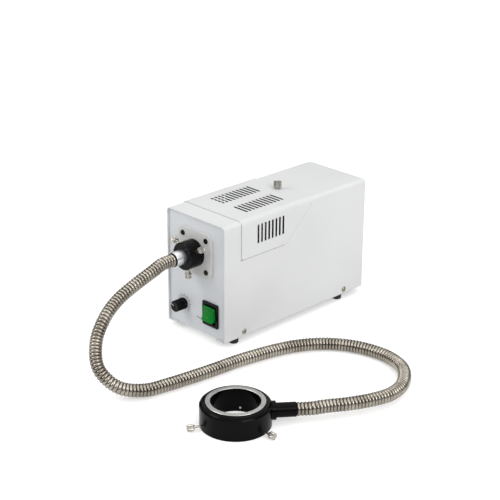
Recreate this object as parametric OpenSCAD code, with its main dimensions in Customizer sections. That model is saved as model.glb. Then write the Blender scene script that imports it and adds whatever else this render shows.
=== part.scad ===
// Fibre optic illuminator: halogen light source in a folded sheet case, with a ribbed light guide and a ring light.
// Millimetres, +Z up, the table is z = 0, the controls face -Y.
// The origin is the centre of the footprint of the case and the ring light together.

/* [Case] */
// Width of the case over its sides
body_w = 100; // [90:1:130]
// Depth of the case, front edge to rear edge
body_d = 246; // [236:1:300]
// Height of the case without its feet
body_h = 148; // [144:1:180]
// Thickness of the sheet of the outer shell
shell_t = 1.2; // [0.8:0.1:2]
// Outer bend radius of the top edges
top_bend_r = 5; // [3.5:0.5:12]
// Outer bend radius of the bottom edges
low_bend_r = 2; // [2:0.5:8]
// Width of the shell edge that turns in under the base pan
shell_lip_w = 16; // [14:1:20]
// Thickness of the base pan, the panels and the brackets
pan_t = 1.5; // [1:0.1:2]
// Height of the upturned edges of the base pan
pan_edge_h = 16; // [13:1:20]
// Setback of the front and rear panels inside the shell
panel_setback = 2.5; // [1:0.5:5]
// Gap between folded parts that nest in each other
sheet_gap = 0.15; // [0.1:0.05:0.3]

/* [Feet and case screws] */
// Height of the rubber feet
foot_h = 7; // [5:0.5:12]
// Diameter of the feet
foot_d = 12; // [11:0.5:16]
// Distance of a foot's axis from the case's side
foot_inset_x = 8; // [8:0.5:12]
// Distance of the front feet from the front edge
foot_front_y = 22.5; // [16:0.5:40]
// Distance of the rear feet from the rear edge
foot_rear_y = 39; // [30:1:50]
// Diameter of the small screws' heads
screw_head_d = 7; // [5.5:0.5:8]
// Height of the small screws' heads
screw_head_h = 1.6; // [1.2:0.1:2.2]
// Diameter of the small screws' shanks
screw_d = 3; // [2.5:0.1:3.4]
// Height of the side screws above the case's underside
side_screw_z = 6.5; // [5.5:0.5:8]
// Distance of the front side screws from the front edge
side_screw_front_y = 32.5; // [28:0.5:45]
// Distance of the rear side screws from the rear edge
side_screw_rear_y = 35; // [28:1:50]

/* [Access cover] */
// Distance of the cover's front edge from the case's front edge
cover_front_y = 27; // [22:1:34]
// Length of the cover's lower edge on the side
cover_low_len = 75; // [70:1:80]
// Length of the cover along the top
cover_top_len = 118; // [114:1:122]
// Drop of the cover's sides below the case's top
cover_drop = 47; // [44:1:52]
// Height of the upright rear end of the cover's side
cover_rear_drop = 7; // [6:0.5:10]
// Corner radius of the cover's sides
cover_corner_r = 4; // [2:0.5:6]
// Thickness of the cover's sheet
cover_t = 1; // [0.8:0.1:1.5]
// Gap between the cover and the shell below it
cover_gap = 0.3; // [0.2:0.05:0.5]
// Overlap of the cover on the shell round its opening
cover_overlap = 6; // [4:0.5:6.5]
// Pitch of the ventilation slots
slot_pitch = 6; // [5:0.5:6.5]
// Width of a ventilation slot
slot_w = 3; // [2:0.25:3.5]
// Length of a ventilation slot
slot_len = 24; // [20:1:26]
// Distance of the first side slot from the cover's front edge
side_slot_start = 27; // [24:1:30]
// Distance of the side slots' upper ends from the case's top
side_slot_drop = 9; // [9:0.5:12]
// Distance of the first top slot from the cover's front edge
top_slot_start = 28; // [26:1:32]
// Distance of a top slot row's centre from the case's middle
top_slot_x = 20; // [18:0.5:28]
// Distance of the cover's screw from the cover's rear edge
cover_screw_inset = 7; // [7:0.5:8]

/* [Thumbscrews] */
// Diameter of the thumbscrews of the port and the cover
thumb_d = 4; // [3:0.5:5]
// Diameter of their knurled heads
thumb_head_d = 8; // [7:0.5:9]
// Length of their knurled heads
thumb_head_len = 8; // [6:0.5:9]
// Diameter of the cover screw's head
cover_head_d = 10; // [8:0.5:12]
// Radial clearance of a screw in its thread
thread_gap = 0.05; // [0.03:0.01:0.08]

/* [Light port] */
// Distance of the light axis below the case's top
port_drop = 44; // [42:0.5:46]
// Side of the square port plate
plate_w = 56; // [52:1:60]
// Corner radius of the port plate
plate_r = 8; // [4:0.5:9]
// Thickness of the port plate
plate_t = 4; // [3:0.5:5]
// Spacing of the port plate's screws
plate_screw_pitch = 40; // [38:1:42]
// Diameter of the barrel
barrel_d = 34; // [32:0.5:35]
// Length of the barrel in front of the plate
barrel_len = 19; // [17:0.5:20]
// Diameter of the barrel's spigot behind the plate
spigot_d = 26; // [25:0.5:27]
// Length of the barrel's spigot
spigot_len = 22.5; // [22:0.5:24]
// Distance of the port's thumbscrews from the barrel's front face
port_screw_y = 8.5; // [7:0.5:10]
// Distance of the port's thumbscrew heads from the light axis
port_head_r = 21.5; // [21:0.5:24]
// Diameter of the heat filter glass
filter_d = 22; // [20:0.5:22]
// Thickness of the heat filter glass
filter_t = 3; // [2:0.5:4]

/* [Light guide] */
// Diameter of the guide's end fitting
ferrule_d = 16; // [15.6:0.1:16.4]
// Diameter of the fitting's collar in front of the barrel
ferrule_collar_d = 18.4; // [17:0.2:19]
// Running clearance of the fitting in the barrel
ferrule_gap = 0.08; // [0.05:0.01:0.1]
// Length of the fitting in front of the barrel
ferrule_out = 15; // [14:0.5:15.5]
// Diameter of the fibre bundle
bundle_d = 9; // [8:0.25:9.5]
// Outer diameter of the conduit over its ribs
hose_d = 15.5; // [15:0.25:15.5]
// Depth of the grooves between the ribs
hose_groove = 0.6; // [0.3:0.1:0.8]
// Diameter of the conduit's bore
hose_bore_d = 11; // [10.5:0.25:11.5]

/* [Ring light] */
// Distance of the ring light's axis from the case's middle
ring_dx = 184.5; // [180:0.5:190]
// Distance of the ring light's axis from the case's front edge
ring_dy = 111.5; // [108:0.5:116]
// Outer diameter of the ring light
ring_d = 78.4; // [76:0.2:80]
// Diameter of the ring light's bore
ring_bore_d = 54; // [53:0.5:55]
// Height of the ring light
ring_h = 28; // [26:0.5:30]
// Outer diameter of the bright face
ring_face_d = 65.4; // [64:0.2:66]
// Height of the bevel between face and side
ring_bevel_h = 4.2; // [3:0.1:5]
// Diameter of the ring of fibre ends
fibre_ring_d = 60; // [59.5:0.1:60.5]
// Width of the ring of fibre ends
fibre_ring_w = 1; // [0.6:0.1:1.2]
// Height of the bright rings
ring_face_h = 1; // [0.8:0.1:2]
// Direction of the sleeve from the ring's axis, in degrees
sleeve_angle = 51.7; // [50:0.1:53]
// Height of the sleeve's axis above the table
sleeve_z = 14; // [13:0.5:14]
// Diameter of the sleeve
sleeve_d = 16.4; // [16:0.2:17]
// Distance of the sleeve's end from the ring's axis
sleeve_end_r = 65.7; // [64:0.1:67]
// Diameter of the boss at the sleeve's foot
boss_d = 21; // [19:0.5:22]
// Distance of the boss's end from the ring's axis
boss_end_r = 43; // [42:0.5:45]
// Direction of the first ring screw, in degrees
ring_screw_angle = 5.4; // [2:0.1:8]
// Height of the ring screws above the table
ring_screw_z = 4.4; // [4.4:0.1:6]
// Diameter of the ring screws
ring_screw_d = 2.5; // [2:0.25:3]
// Diameter of the ring screws' heads
ring_head_d = 7.8; // [6.5:0.1:8]
// Length of the ring screws' heads
ring_head_len = 8; // [6:0.5:9]
// Distance of the ring screws' heads from the ring's axis
ring_head_r = 46; // [45:0.5:49]

/* [Controls] */
// Distance of the knob's axis from the case's middle
knob_x = -23.5; // [-25:0.5:-21]
// Height of the knob's axis above the case's underside
knob_z = 29.5; // [28:0.5:34]
// Diameter of the knob
knob_d = 14.6; // [13:0.2:16]
// Distance of the knob's front face from the case's front edge
knob_out = 13.8; // [12:0.2:16]
// Gap between the knob and the front panel
knob_panel_gap = 1; // [0.5:0.1:1.5]
// Diameter of the dimmer's shaft
shaft_d = 6; // [5:0.5:6.4]
// Diameter of the dimmer's body
pot_d = 16.5; // [15:0.5:20]
// Distance of the switch's centre from the case's middle
switch_x = 24; // [22:0.5:26]
// Height of the switch's centre above the case's underside
switch_z = 30; // [28:0.5:34]
// Width of the switch's frame
bezel_w = 26.5; // [25:0.5:28]
// Height of the switch's frame
bezel_h = 30.5; // [30:0.5:33]
// Thickness of the switch's frame
bezel_t = 2; // [1.5:0.1:2.5]
// Width of the rocker
rocker_w = 17.8; // [16:0.2:19]
// Height of the rocker's face
rocker_h = 19; // [17:0.5:20]
// Tilt of the rocker from its middle position, in degrees
rocker_tilt = 11; // [8:0.5:12]

/* [Rear and inside] */
// Side of the fan's square frame
fan_w = 80; // [76:1:80]
// Depth of the fan
fan_t = 25; // [20:1:25]
// Distance of the fan's axis below the case's top
fan_drop = 47; // [44:1:50]
// Height of the inlet's centre above the case's underside
inlet_z = 29; // [26:1:32]
// Width of the inlet's flange
inlet_w = 48; // [46:1:52]
// Height of the inlet's flange
inlet_h = 34; // [33:0.5:36]
// Thickness of the inlet's flange
inlet_t = 2; // [1.5:0.5:2.5]
// Depth of the inlet's body behind the panel
inlet_body_len = 22; // [21:1:24]
// Distance of the lamp's rim from the front edge
lamp_y = 58; // [54:1:60]
// Diameter of the lamp's reflector
lamp_d = 50; // [46:1:51]
// Depth of the lamp's reflector
lamp_len = 38; // [34:1:42]
// Reach of the inlet's blades behind its body
blade_out = 5; // [4:0.5:6]
// Width of the lamp's bracket
bracket_w = 72; // [64:1:76]
// Length of the bracket's foot
bracket_foot = 16; // [14:1:18]
// Width of the transformer's core
core_w = 66; // [60:1:70]
// Height of the transformer's core
core_h = 56; // [50:1:58]
// Stack thickness of the transformer's core
core_t = 34; // [30:1:38]
// Width of the transformer's winding
coil_w = 43; // [40:1:44]
// Overhang of the winding on each side of the core
coil_out = 9; // [6:1:10]
// Width of the control board
board_w = 72; // [64:1:76]
// Length of the control board
board_len = 70; // [60:1:72]
// Distance of the control board behind the lamp's rim
board_gap = 4; // [2:0.5:8]
// Height of the control board above the base pan
board_rise = 12; // [8:1:14]
// Thickness of the control board
board_t = 1.6; // [1:0.1:2]

/* [Hidden] */
// smallest inside radius of a fold
inner_bend_r = 0.3;

$fn = 72;
eps = 0.01;

// heights measured from the table
body_z = foot_h;
top_z = foot_h + body_h;
pan_z = body_z + shell_t + sheet_gap + pan_t;
light_z = top_z - port_drop;
fan_axis_z = top_z - fan_drop;
inner_w = body_w - 2 * (shell_t + sheet_gap);

// planes across the depth
panel_y = panel_setback;
panel_back_y = panel_y + pan_t;
rear_y = body_d - panel_setback;
rear_in_y = rear_y - pan_t;
plate_y = panel_y - plate_t;
barrel_y = plate_y - barrel_len;
port_thumb_y = barrel_y + port_screw_y;
ferrule_y = barrel_y - ferrule_out;
ferrule_in_y = plate_y + 15;
port_angles = [150, 30, 270];

// cover
cover_rear_y = cover_front_y + cover_top_len;
cover_top_z = top_z + cover_gap + cover_t;
cover_screw_y = cover_rear_y - cover_screw_inset;
side_slots = 8;
top_slots = 11;
slot_r = 1;
bracket_z = top_z - shell_t - pan_t;
nut_h = 4;

// case screws
side_screw_ys = [side_screw_front_y, body_d - side_screw_rear_y];
foot_ys = [foot_front_y, body_d - foot_rear_y];
foot_x = body_w / 2 - foot_inset_x;
hole_gap = 0.2;

// switch
switch_body_w = bezel_w - 3;
switch_body_h = bezel_h - 4.4;
rocker_pivot_y = panel_y + 2.5;
rocker_front = 8.2;
rocker_pin_d = 2.4;

// inside, from the front to the rear
piece_gap = 0.3;
socket_len = 14;
bracket_screw_x = 28;
board_y = lamp_y + board_gap;
blade_tip_y = rear_y + inlet_t - inlet_body_len - blade_out;
transformer_y = (board_y + board_len + blade_tip_y - core_t) / 2;
socket_end_y = lamp_y + lamp_len + 0.1 + socket_len;
board_top_z = pan_z + board_rise + board_t;
switch_len = 24;
switch_back_y = panel_y + switch_len + 8;

// wires
wire_d = 2.2;
wall_x = inner_w / 2 - 6.6;
wire_z = pan_z + 20;
wire_sides = 6;

// mains inlet
mouth_z = 6;
mouth_depth = 17;
drawer_z = -9.8;

// ring light screws
ring_angles = [ring_screw_angle, ring_screw_angle + 120, ring_screw_angle - 120];
ring_head_chamfer = 0.6;
ring_tip_r = ring_bore_d / 2 + 0.1;
ring_screw_end_r = ring_head_r + ring_head_len;
ring_head_rim = ring_head_d / 2 - ring_head_chamfer;
channel_z = 9;
channel_w = 4.4;

// footprint of the case and the ring light, and the places that centre it on the origin
side_reach = max(body_w / 2 + cover_gap + cover_t, body_w / 2 + screw_head_h);
foot_x_hi = ring_dx + ring_screw_end_r * cos(ring_angles[0]) + ring_head_rim * abs(sin(ring_angles[0]));
foot_y_lo = -ring_dy + ring_screw_end_r * sin(ring_angles[2]) - ring_head_rim * abs(cos(ring_angles[2]));
house_x = -(foot_x_hi - side_reach) / 2;
house_y = -(foot_y_lo + body_d) / 2;

// route of the conduit from the case's middle and front edge, heights from the table
sleeve_dir = [cos(sleeve_angle), sin(sleeve_angle), 0];
ring_at = [ring_dx, -ring_dy, sleeve_z];
route_start = [0, ferrule_y, light_z];
route_end = ring_at + sleeve_end_r * sleeve_dir;
route_points = [[2, -67, 107.5], [3, -94, 99.5], [4, -122, 89], [10.2, -147, 76], [19, -167, 56],
    [36.3, -178.1, 34], [58.5, -169.3, 16.5], [73.3, -143.9, 9], [80, -113, 8], [85, -84, 8], [89, -54, 8],
    [92, -24, 8], [97, 5, 8], [104, 34, 8], [115, 62, 8], [133, 87, 8], [157, 104, 8],
    [185, 113, 8], [213.1, 113.3, 8], [240.4, 101, 8.5], [262.5, 73, 9.5], [270.4, 44.2, 11],
    [266.8, 17.9, 12.5], [256.6, -8.6, 13.5], [243.8, -30.7, 14]];
hose_route = concat([route_start, route_start - [0, hose_d, 0]], route_points,
    [route_end + hose_d * sleeve_dir, route_end]);
hose_ribs = 198;
hose_sides = 8;
bore_step = 4;

// ---------- shared shapes ----------

module at_house() translate([house_x, house_y, 0]) children();

module at_ring() at_house() translate([ring_dx, -ring_dy, 0]) children();

// a profile drawn in X and Z, extruded along +Y
module along_y(y, len) translate([0, y + len, 0]) rotate([90, 0, 0]) linear_extrude(len) children();

// a profile drawn in Y and Z, extruded along +X
module along_x(x, len) translate([x, 0, 0]) rotate([90, 0, 90]) linear_extrude(len) children();

module rod_y(x, z, y, len, d) translate([x, y, z]) rotate([-90, 0, 0]) cylinder(d=d, h=len);

module round_rect(w, h, r) {
    square([w - 2 * r, h], center=true);
    square([w, h - 2 * r], center=true);
    for (x = [-1, 1], y = [-1, 1]) translate([x * (w / 2 - r), y * (h / 2 - r)]) circle(r, $fn=48);
}

// points of a corner at b, between a and c, rounded with radius r
function corner(a, b, c, r, steps=8) =
    let (u = (a - b) / norm(a - b), v = (c - b) / norm(c - b))
    let (half = acos(u * v) / 2, m = (u + v) / norm(u + v))
    let (centre = b + m * r / sin(half), p = b + u * r / tan(half), q = b + v * r / tan(half))
    let (pa = p - centre, qa = q - centre, turn = acos(pa * qa / (r * r)))
    [for (i = [0:steps]) centre + (pa * sin(turn * (1 - i / steps)) + qa * sin(turn * i / steps)) / sin(turn)];

// cross-section of the case, drawn in by inset
module case_profile(inset) {
    w = body_w / 2 - inset;
    rt = max(top_bend_r - inset, inner_bend_r);
    rb = max(low_bend_r - inset, inner_bend_r);
    low = body_z + inset;
    high = top_z - inset;
    translate([-w, low + rb]) square([2 * w, high - low - rt - rb]);
    translate([-(w - rt), high - 2 * rt]) square([2 * (w - rt), 2 * rt]);
    translate([-(w - rb), low]) square([2 * (w - rb), 2 * rb]);
    for (s = [-1, 1]) {
        translate([s * (w - rt), high - rt]) circle(rt);
        translate([s * (w - rb), low + rb]) circle(rb);
    }
}

// side outline of the cover in Y and Z, made smaller all round by inset
function cover_outline(inset) =
    let (y0 = cover_front_y + inset, y1 = cover_front_y + cover_low_len, y2 = cover_rear_y - inset)
    let (low = top_z - cover_drop, over = top_z + 20)
    let (slope = (cover_drop - cover_rear_drop) / (cover_top_len - cover_low_len))
    let (lift = inset * sqrt(1 + slope * slope))
    let (a = [y0, over], b = [y0, low + inset], c = [y1 + (inset - lift) / slope, low + inset])
    let (d = [y2, low + slope * (y2 - y1) + lift], e = [y2, over])
    concat([a], corner(a, b, c, cover_corner_r), corner(b, c, d, cover_corner_r),
        corner(c, d, e, cover_corner_r), [e]);

module knurled(d, teeth, depth) {
    polygon([for (i = [0:2 * teeth - 1]) (d / 2 - depth * (i % 2)) * [cos(i * 180 / teeth), sin(i * 180 / teeth)]]);
}

// a knurled head along +Z with chamfered ends and a shallow dished top
module knurled_head(d, len, chamfer) {
    intersection() {
        linear_extrude(len) knurled(d, 22, 0.25);
        rotate_extrude() {
            tip = d / 2 + 0.1;
            cut = chamfer + 0.1;
            polygon([[0, 0], [tip - cut, 0], [tip, cut], [tip, len - cut], [tip - cut, len],
                [d / 2 - 2 * chamfer, len],
                [d / 2 - 3 * chamfer, len - chamfer], [0, len - chamfer]]);
        }
    }
}

// a pan head screw along -Z with its seat at z = 0 and a cross slot
module pan_screw(head_d, head_h, d, len) {
    translate([0, 0, -len]) cylinder(d=d, h=len, $fn=24);
    difference() {
        rotate_extrude($fn=40) polygon([[0, 0], [head_d / 2, 0], [head_d / 2, head_h * 0.45],
            [head_d * 0.42, head_h * 0.8], [head_d * 0.28, head_h], [0, head_h]]);
        for (a = [0, 90]) rotate(a) translate([-head_d * 0.3, -head_d * 0.06, head_h * 0.45])
            cube([head_d * 0.6, head_d * 0.12, head_h]);
    }
}

// ---------- sweeps along a route ----------

// point between p1 and p2 on a smooth curve through four route points
function blend_point(p0, p1, p2, p3, t) =
    0.5 * (2 * p1 + (p2 - p0) * t + (2 * p0 - 5 * p1 + 4 * p2 - p3) * t * t
        + (3 * p1 - p0 - 3 * p2 + p3) * t * t * t);

// fine points of a route whose first and last runs are straight
function fine_route(r, steps) =
    let (n = len(r))
    let (fine = [for (i = [1:n - 3], j = [0:steps - 1]) blend_point(r[i - 1], r[i], r[i + 1], r[i + 2], j / steps)])
    concat([r[0]], fine, [r[n - 2], r[n - 1]]);

function run_lengths(p) =
    [for (i = 0, s = 0; i < len(p); s = s + (i < len(p) - 1 ? norm(p[i + 1] - p[i]) : 0), i = i + 1) s];

function at_length(p, s, q) =
    let (hits = [for (i = [0:len(p) - 2]) if (s[i] <= q + eps && q <= s[i + 1] + eps) i], i = hits[0])
    p[i] + (p[i + 1] - p[i]) * (q - s[i]) / (s[i + 1] - s[i]);

function unit(v) = v / norm(v);

// a ring of points with radius r round the route at length q, whose first point lies off the side of up
function ring_at_length(p, s, q, r, sides, up=[0, 0, 1]) =
    let (total = s[len(s) - 1], a = at_length(p, s, max(q - 1, 0)), b = at_length(p, s, min(q + 1, total)))
    let (t = unit(b - a), side = unit(cross(t, up)), top = cross(side, t), c = at_length(p, s, q))
    [for (k = [0:sides - 1]) let (w = 360 * (k + 0.5) / sides) c + r * (cos(w) * side + sin(w) * top)];

// triangles between ring i and ring i + 1 of a tube whose points start at base
function band(i, sides, base=0) = [for (k = [0:sides - 1])
    let (m = (k + 1) % sides, a = base + i * sides, b = a + sides)
    each [[a + k, b + m, b + k], [a + k, a + m, b + m]]];

function flipped(faces) = [for (f = faces) [f[2], f[1], f[0]]];

function cap(i, sides) = [for (k = [1:sides - 2]) [i * sides, i * sides + k, i * sides + k + 1]];

// a closed tube through rings of points
module tube_through(rings, sides) {
    last = len(rings) - 1;
    polyhedron([for (r = rings) each r],
        concat([for (i = [0:last - 1]) each band(i, sides)], flipped(cap(0, sides)), cap(last, sides)));
}

// an insulated wire through a few points
module wire(route, d) {
    p = fine_route(route, 6);
    s = run_lengths(p);
    total = s[len(s) - 1];
    count = ceil(total / (d * 6));
    rings = [for (i = [0:count]) ring_at_length(p, s, total * i / count, d / 2, wire_sides, [1, 0, 0])];
    tube_through(rings, wire_sides);
}

// ---------- case ----------

module outer_shell() color("gainsboro") at_house() difference() {
    along_y(0, body_d) difference() {
        case_profile(0);
        case_profile(shell_t);
        translate([-body_w / 2 + shell_lip_w, body_z - 1]) square([body_w - 2 * shell_lip_w, shell_t + 2]);
    }
    along_x(-body_w, 2 * body_w) polygon(cover_outline(cover_overlap));
    translate([0, cover_screw_y, top_z - 2 * shell_t]) cylinder(d=thumb_d + 2 * hole_gap, h=3 * shell_t, $fn=40);
    for (x = [-foot_x, foot_x], y = foot_ys) translate([x, y, body_z - 1]) cylinder(d=screw_d + 2 * hole_gap, h=5);
    for (y = side_screw_ys) translate([-body_w, y, body_z + side_screw_z]) rotate([0, 90, 0])
        cylinder(d=screw_d + 2 * hole_gap, h=2 * body_w);
}

module cover_slots() {
    for (i = [0:side_slots - 1]) along_x(-body_w, 2 * body_w)
        translate([cover_front_y + side_slot_start + i * slot_pitch, top_z - side_slot_drop - slot_len / 2])
            round_rect(slot_w, slot_len, slot_r);
    for (i = [0:top_slots - 1], s = [-1, 1])
        translate([s * top_slot_x, cover_front_y + top_slot_start + i * slot_pitch, top_z - 2])
            linear_extrude(6) round_rect(slot_len, slot_w, slot_r);
}

module access_cover() color("gainsboro") at_house() difference() {
    intersection() {
        along_y(cover_front_y - 1, cover_top_len + 2) difference() {
            case_profile(-(cover_gap + cover_t));
            case_profile(-cover_gap);
        }
        along_x(-body_w, 2 * body_w) polygon(cover_outline(0));
    }
    cover_slots();
    translate([0, cover_screw_y, top_z - 1]) cylinder(d=thumb_d + 2 * hole_gap, h=5);
}

module cover_stud() color("silver") at_house()
    translate([0, cover_screw_y, bracket_z - nut_h])
        cylinder(d=thumb_d, h=cover_top_z + 1 - bracket_z + nut_h, $fn=40);

module cover_head() color("silver") at_house() translate([0, cover_screw_y, cover_top_z]) {
    difference() {
        union() {
            translate([0, 0, 0.2]) cylinder(d=cover_head_d * 0.65, h=1.2);
            translate([0, 0, 1.2]) knurled_head(cover_head_d, thumb_head_len, 0.7);
        }
        translate([0, 0, -1]) cylinder(d=thumb_d + 0.1, h=2.05, $fn=40);
    }
}

module cover_bracket() color("silver") at_house() translate([0, cover_screw_y, 0]) difference() {
    union() {
        translate([-13, -10, bracket_z]) cube([26, 26, pan_t]);
        translate([0, 0, bracket_z - nut_h]) cylinder(d=9, h=nut_h + eps, $fn=6);
    }
    translate([0, 0, bracket_z - nut_h - 1]) cylinder(d=thumb_d + 2 * thread_gap, h=nut_h + pan_t + 2, $fn=40);
}

module base_pan() color("silver") at_house() difference() {
    union() {
        along_y(panel_back_y, rear_in_y - panel_back_y) intersection() {
            difference() {
                case_profile(shell_t + sheet_gap);
                case_profile(shell_t + sheet_gap + pan_t);
            }
            translate([-body_w / 2, body_z]) square([body_w, pan_edge_h]);
        }
        for (y = [panel_back_y, rear_in_y - pan_t]) translate([-inner_w / 2 + low_bend_r, y, pan_z - pan_t])
            cube([inner_w - 2 * low_bend_r, pan_t, 12]);
    }
    for (x = [-foot_x, foot_x], y = foot_ys) translate([x, y, body_z - 1]) cylinder(d=screw_d + 2 * hole_gap, h=9);
    for (y = side_screw_ys) translate([-body_w, y, body_z + side_screw_z]) rotate([0, 90, 0])
        cylinder(d=screw_d + 2 * hole_gap, h=2 * body_w);
    for (x = [-1, 1], y = [0, board_len - 10]) translate([x * (board_w / 2 - 5), board_y + 5 + y, body_z])
        cylinder(d=2.4, h=6, $fn=24);
    for (x = [-1, 1]) {
        translate([x * (core_w / 2 + 4), transformer_y + core_t / 2, body_z])
            cylinder(d=screw_d + 0.4, h=6, $fn=24);
        translate([x * bracket_screw_x, lamp_y - pan_t - bracket_foot / 2, body_z])
            cylinder(d=screw_d + 0.4, h=6, $fn=24);
    }
}

module front_panel() color("whitesmoke") at_house() difference() {
    along_y(panel_y, pan_t) case_profile(shell_t + sheet_gap);
    rod_y(0, light_z, 0, 10, spigot_d + 2 * hole_gap);
    for (x = [-1, 1], z = [-1, 1])
        rod_y(x * plate_screw_pitch / 2, light_z + z * plate_screw_pitch / 2, 0, 10, screw_d + 2 * hole_gap);
    rod_y(knob_x, body_z + knob_z, 0, 10, shaft_d + 1.2);
    along_y(0, 10) translate([switch_x, body_z + switch_z])
        square([switch_body_w + 2 * hole_gap, switch_body_h + 2 * hole_gap], center=true);
}

module rear_panel() color("whitesmoke") at_house() difference() {
    along_y(rear_in_y, pan_t) case_profile(shell_t + sheet_gap);
    along_y(rear_in_y - 1, 5) translate([0, fan_axis_z]) intersection() {
        circle(d=fan_w - 6);
        for (i = [-6:6]) translate([-fan_w / 2, i * slot_pitch - slot_w / 2]) square([fan_w, slot_w]);
    }
    for (x = [-1, 1], z = [-1, 1])
        rod_y(x * (fan_w / 2 - 4), fan_axis_z + z * (fan_w / 2 - 4), rear_in_y - 1, 5, screw_d + 2 * hole_gap);
    along_y(rear_in_y - 1, 5) translate([0, body_z + inlet_z])
        square([28 + 2 * hole_gap, inlet_h - 4], center=true);
    for (x = [-1, 1]) rod_y(x * (inlet_w / 2 - 4), body_z + inlet_z, rear_in_y - 1, 5, screw_d + 2 * hole_gap);
}

module rear_screws() color("silver") at_house() {
    for (x = [-1, 1], z = [-1, 1])
        translate([x * (fan_w / 2 - 4), rear_y, fan_axis_z + z * (fan_w / 2 - 4)]) rotate([-90, 0, 0])
            pan_screw(screw_head_d - 1, screw_head_h, screw_d, 6);
    for (x = [-1, 1]) translate([x * (inlet_w / 2 - 4), rear_y + inlet_t, body_z + inlet_z]) rotate([-90, 0, 0])
        pan_screw(screw_head_d - 2, 0.5, screw_d - 0.4, 6);
}

module shell_screws() color("dimgray") at_house() for (s = [-1, 1], y = side_screw_ys)
    translate([s * body_w / 2, y, body_z + side_screw_z]) rotate([0, s * 90, 0])
        pan_screw(screw_head_d, screw_head_h, screw_d, 5);

module feet() color("black") at_house() for (x = [-foot_x, foot_x], y = foot_ys) translate([x, y, 0]) difference() {
    rotate_extrude() polygon([[0, 0], [foot_d / 2 - 1, 0], [foot_d / 2 - 0.3, 0.5], [foot_d / 2, 1.5],
        [foot_d / 2, foot_h], [0, foot_h]]);
    translate([0, 0, -1]) cylinder(d=screw_head_d + 0.6, h=4);
    cylinder(d=screw_d + 0.2, h=foot_h + 1, $fn=32);
}

module foot_screws() color("silver") at_house() for (x = [-foot_x, foot_x], y = foot_ys)
    translate([x, y, 3]) rotate([180, 0, 0]) pan_screw(screw_head_d, screw_head_h, screw_d, foot_h - 3 + 5);

// ---------- light port ----------

module port_plate() color("lightgray") at_house() difference() {
    along_y(plate_y, plate_t) translate([0, light_z]) round_rect(plate_w, plate_w, plate_r);
    rod_y(0, light_z, plate_y - 1, plate_t + 2, spigot_d + 2 * sheet_gap);
    for (x = [-1, 1], z = [-1, 1])
        rod_y(x * plate_screw_pitch / 2, light_z + z * plate_screw_pitch / 2,
            plate_y - 1, plate_t + 2, screw_d + 0.2);
}

module port_screws() color("black") at_house() for (x = [-1, 1], z = [-1, 1])
    translate([x * plate_screw_pitch / 2, plate_y, light_z + z * plate_screw_pitch / 2]) rotate([90, 0, 0])
        pan_screw(screw_head_d - 0.4, screw_head_h, screw_d, plate_t + pan_t + 3);

// the barrel: bore for the fitting, a lip that stops it, and a pocket for the heat filter
module guide_barrel() color("black") at_house() translate([0, 0, light_z]) difference() {
    translate([0, barrel_y, 0]) rotate([-90, 0, 0]) rotate_extrude() {
        stop = ferrule_in_y - barrel_y + 0.2;
        back = barrel_len + spigot_len;
        bore = ferrule_d / 2 + ferrule_gap;
        pocket = filter_d / 2 + 0.1;
        window = bundle_d / 2 + 1.5;
        polygon([[bore, 0.8], [bore + 0.8, 0], [barrel_d / 2 - 0.8, 0], [barrel_d / 2, 0.8],
            [barrel_d / 2, barrel_len], [spigot_d / 2, barrel_len], [spigot_d / 2, back], [pocket, back],
            [pocket, stop + 1.5], [window, stop + 1.5], [window, stop], [bore, stop]]);
    }
    for (a = port_angles) translate([0, port_thumb_y, 0]) rotate([0, -a, 0]) rotate([0, 90, 0])
        cylinder(d=thumb_d + 2 * thread_gap, h=barrel_d, $fn=40);
}

module heat_filter() color("lightblue") at_house()
    rod_y(0, light_z, ferrule_in_y + 1.7, filter_t, filter_d);

// stud and head of one port thumbscrew, lying along the radius at the angle
module at_port_screw(i) at_house() translate([0, port_thumb_y, light_z])
    rotate([0, -port_angles[i], 0]) rotate([0, 90, 0]) children();

module port_stud(i) color("silver") at_port_screw(i)
    translate([0, 0, ferrule_d / 2 + 0.1]) cylinder(d=thumb_d, h=port_head_r + 1 - ferrule_d / 2 - 0.1, $fn=40);

module port_head(i) color("silver") at_port_screw(i) translate([0, 0, port_head_r]) difference() {
    knurled_head(thumb_head_d, thumb_head_len, 0.6);
    translate([0, 0, -1]) cylinder(d=thumb_d + 0.1, h=2.05, $fn=40);
}

module port_stud_a() port_stud(0);
module port_stud_b() port_stud(1);
module port_stud_c() port_stud(2);
module port_head_a() port_head(0);
module port_head_b() port_head(1);
module port_head_c() port_head(2);

// ---------- controls ----------

module knob() color("black") at_house() translate([knob_x, 0, body_z + knob_z]) difference() {
    translate([0, -knob_out, 0]) rotate([-90, 0, 0]) intersection() {
        len = knob_out + panel_y - knob_panel_gap;
        linear_extrude(len) knurled(knob_d, 20, 0.35);
        rotate_extrude() polygon([[0, 0.4], [knob_d * 0.3, 0.4], [knob_d * 0.34, 0], [knob_d / 2 - 0.8, 0],
            [knob_d / 2 + 0.1, 0.9], [knob_d / 2 + 0.1, len], [0, len]]);
    }
    rotate([-90, 0, 0]) translate([0, 0, -knob_out + 4]) cylinder(d=shaft_d + 0.1, h=knob_out + 10, $fn=48);
}

module dimmer_shaft() color("silver") at_house()
    rod_y(knob_x, body_z + knob_z, -knob_out + 4, knob_out - 4 + panel_back_y + 7, shaft_d);

module dimmer_pot() color("dimgray") at_house() difference() {
    union() {
        rod_y(knob_x, body_z + knob_z, panel_back_y, 12, pot_d);
        translate([knob_x, panel_y - 0.7, body_z + knob_z]) rotate([-90, 0, 0]) cylinder(d=shaft_d + 1, h=4);
        for (i = [-1, 0, 1]) translate([knob_x + i * 5 - 0.75, panel_back_y + 5, body_z + knob_z - pot_d / 2 - 5])
            cube([1.5, 1, 8]);
    }
    rod_y(knob_x, body_z + knob_z, panel_y - 1, pan_t + 9, shaft_d + 0.1);
}

module at_switch() at_house() translate([switch_x, 0, body_z + switch_z]) children();

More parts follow.
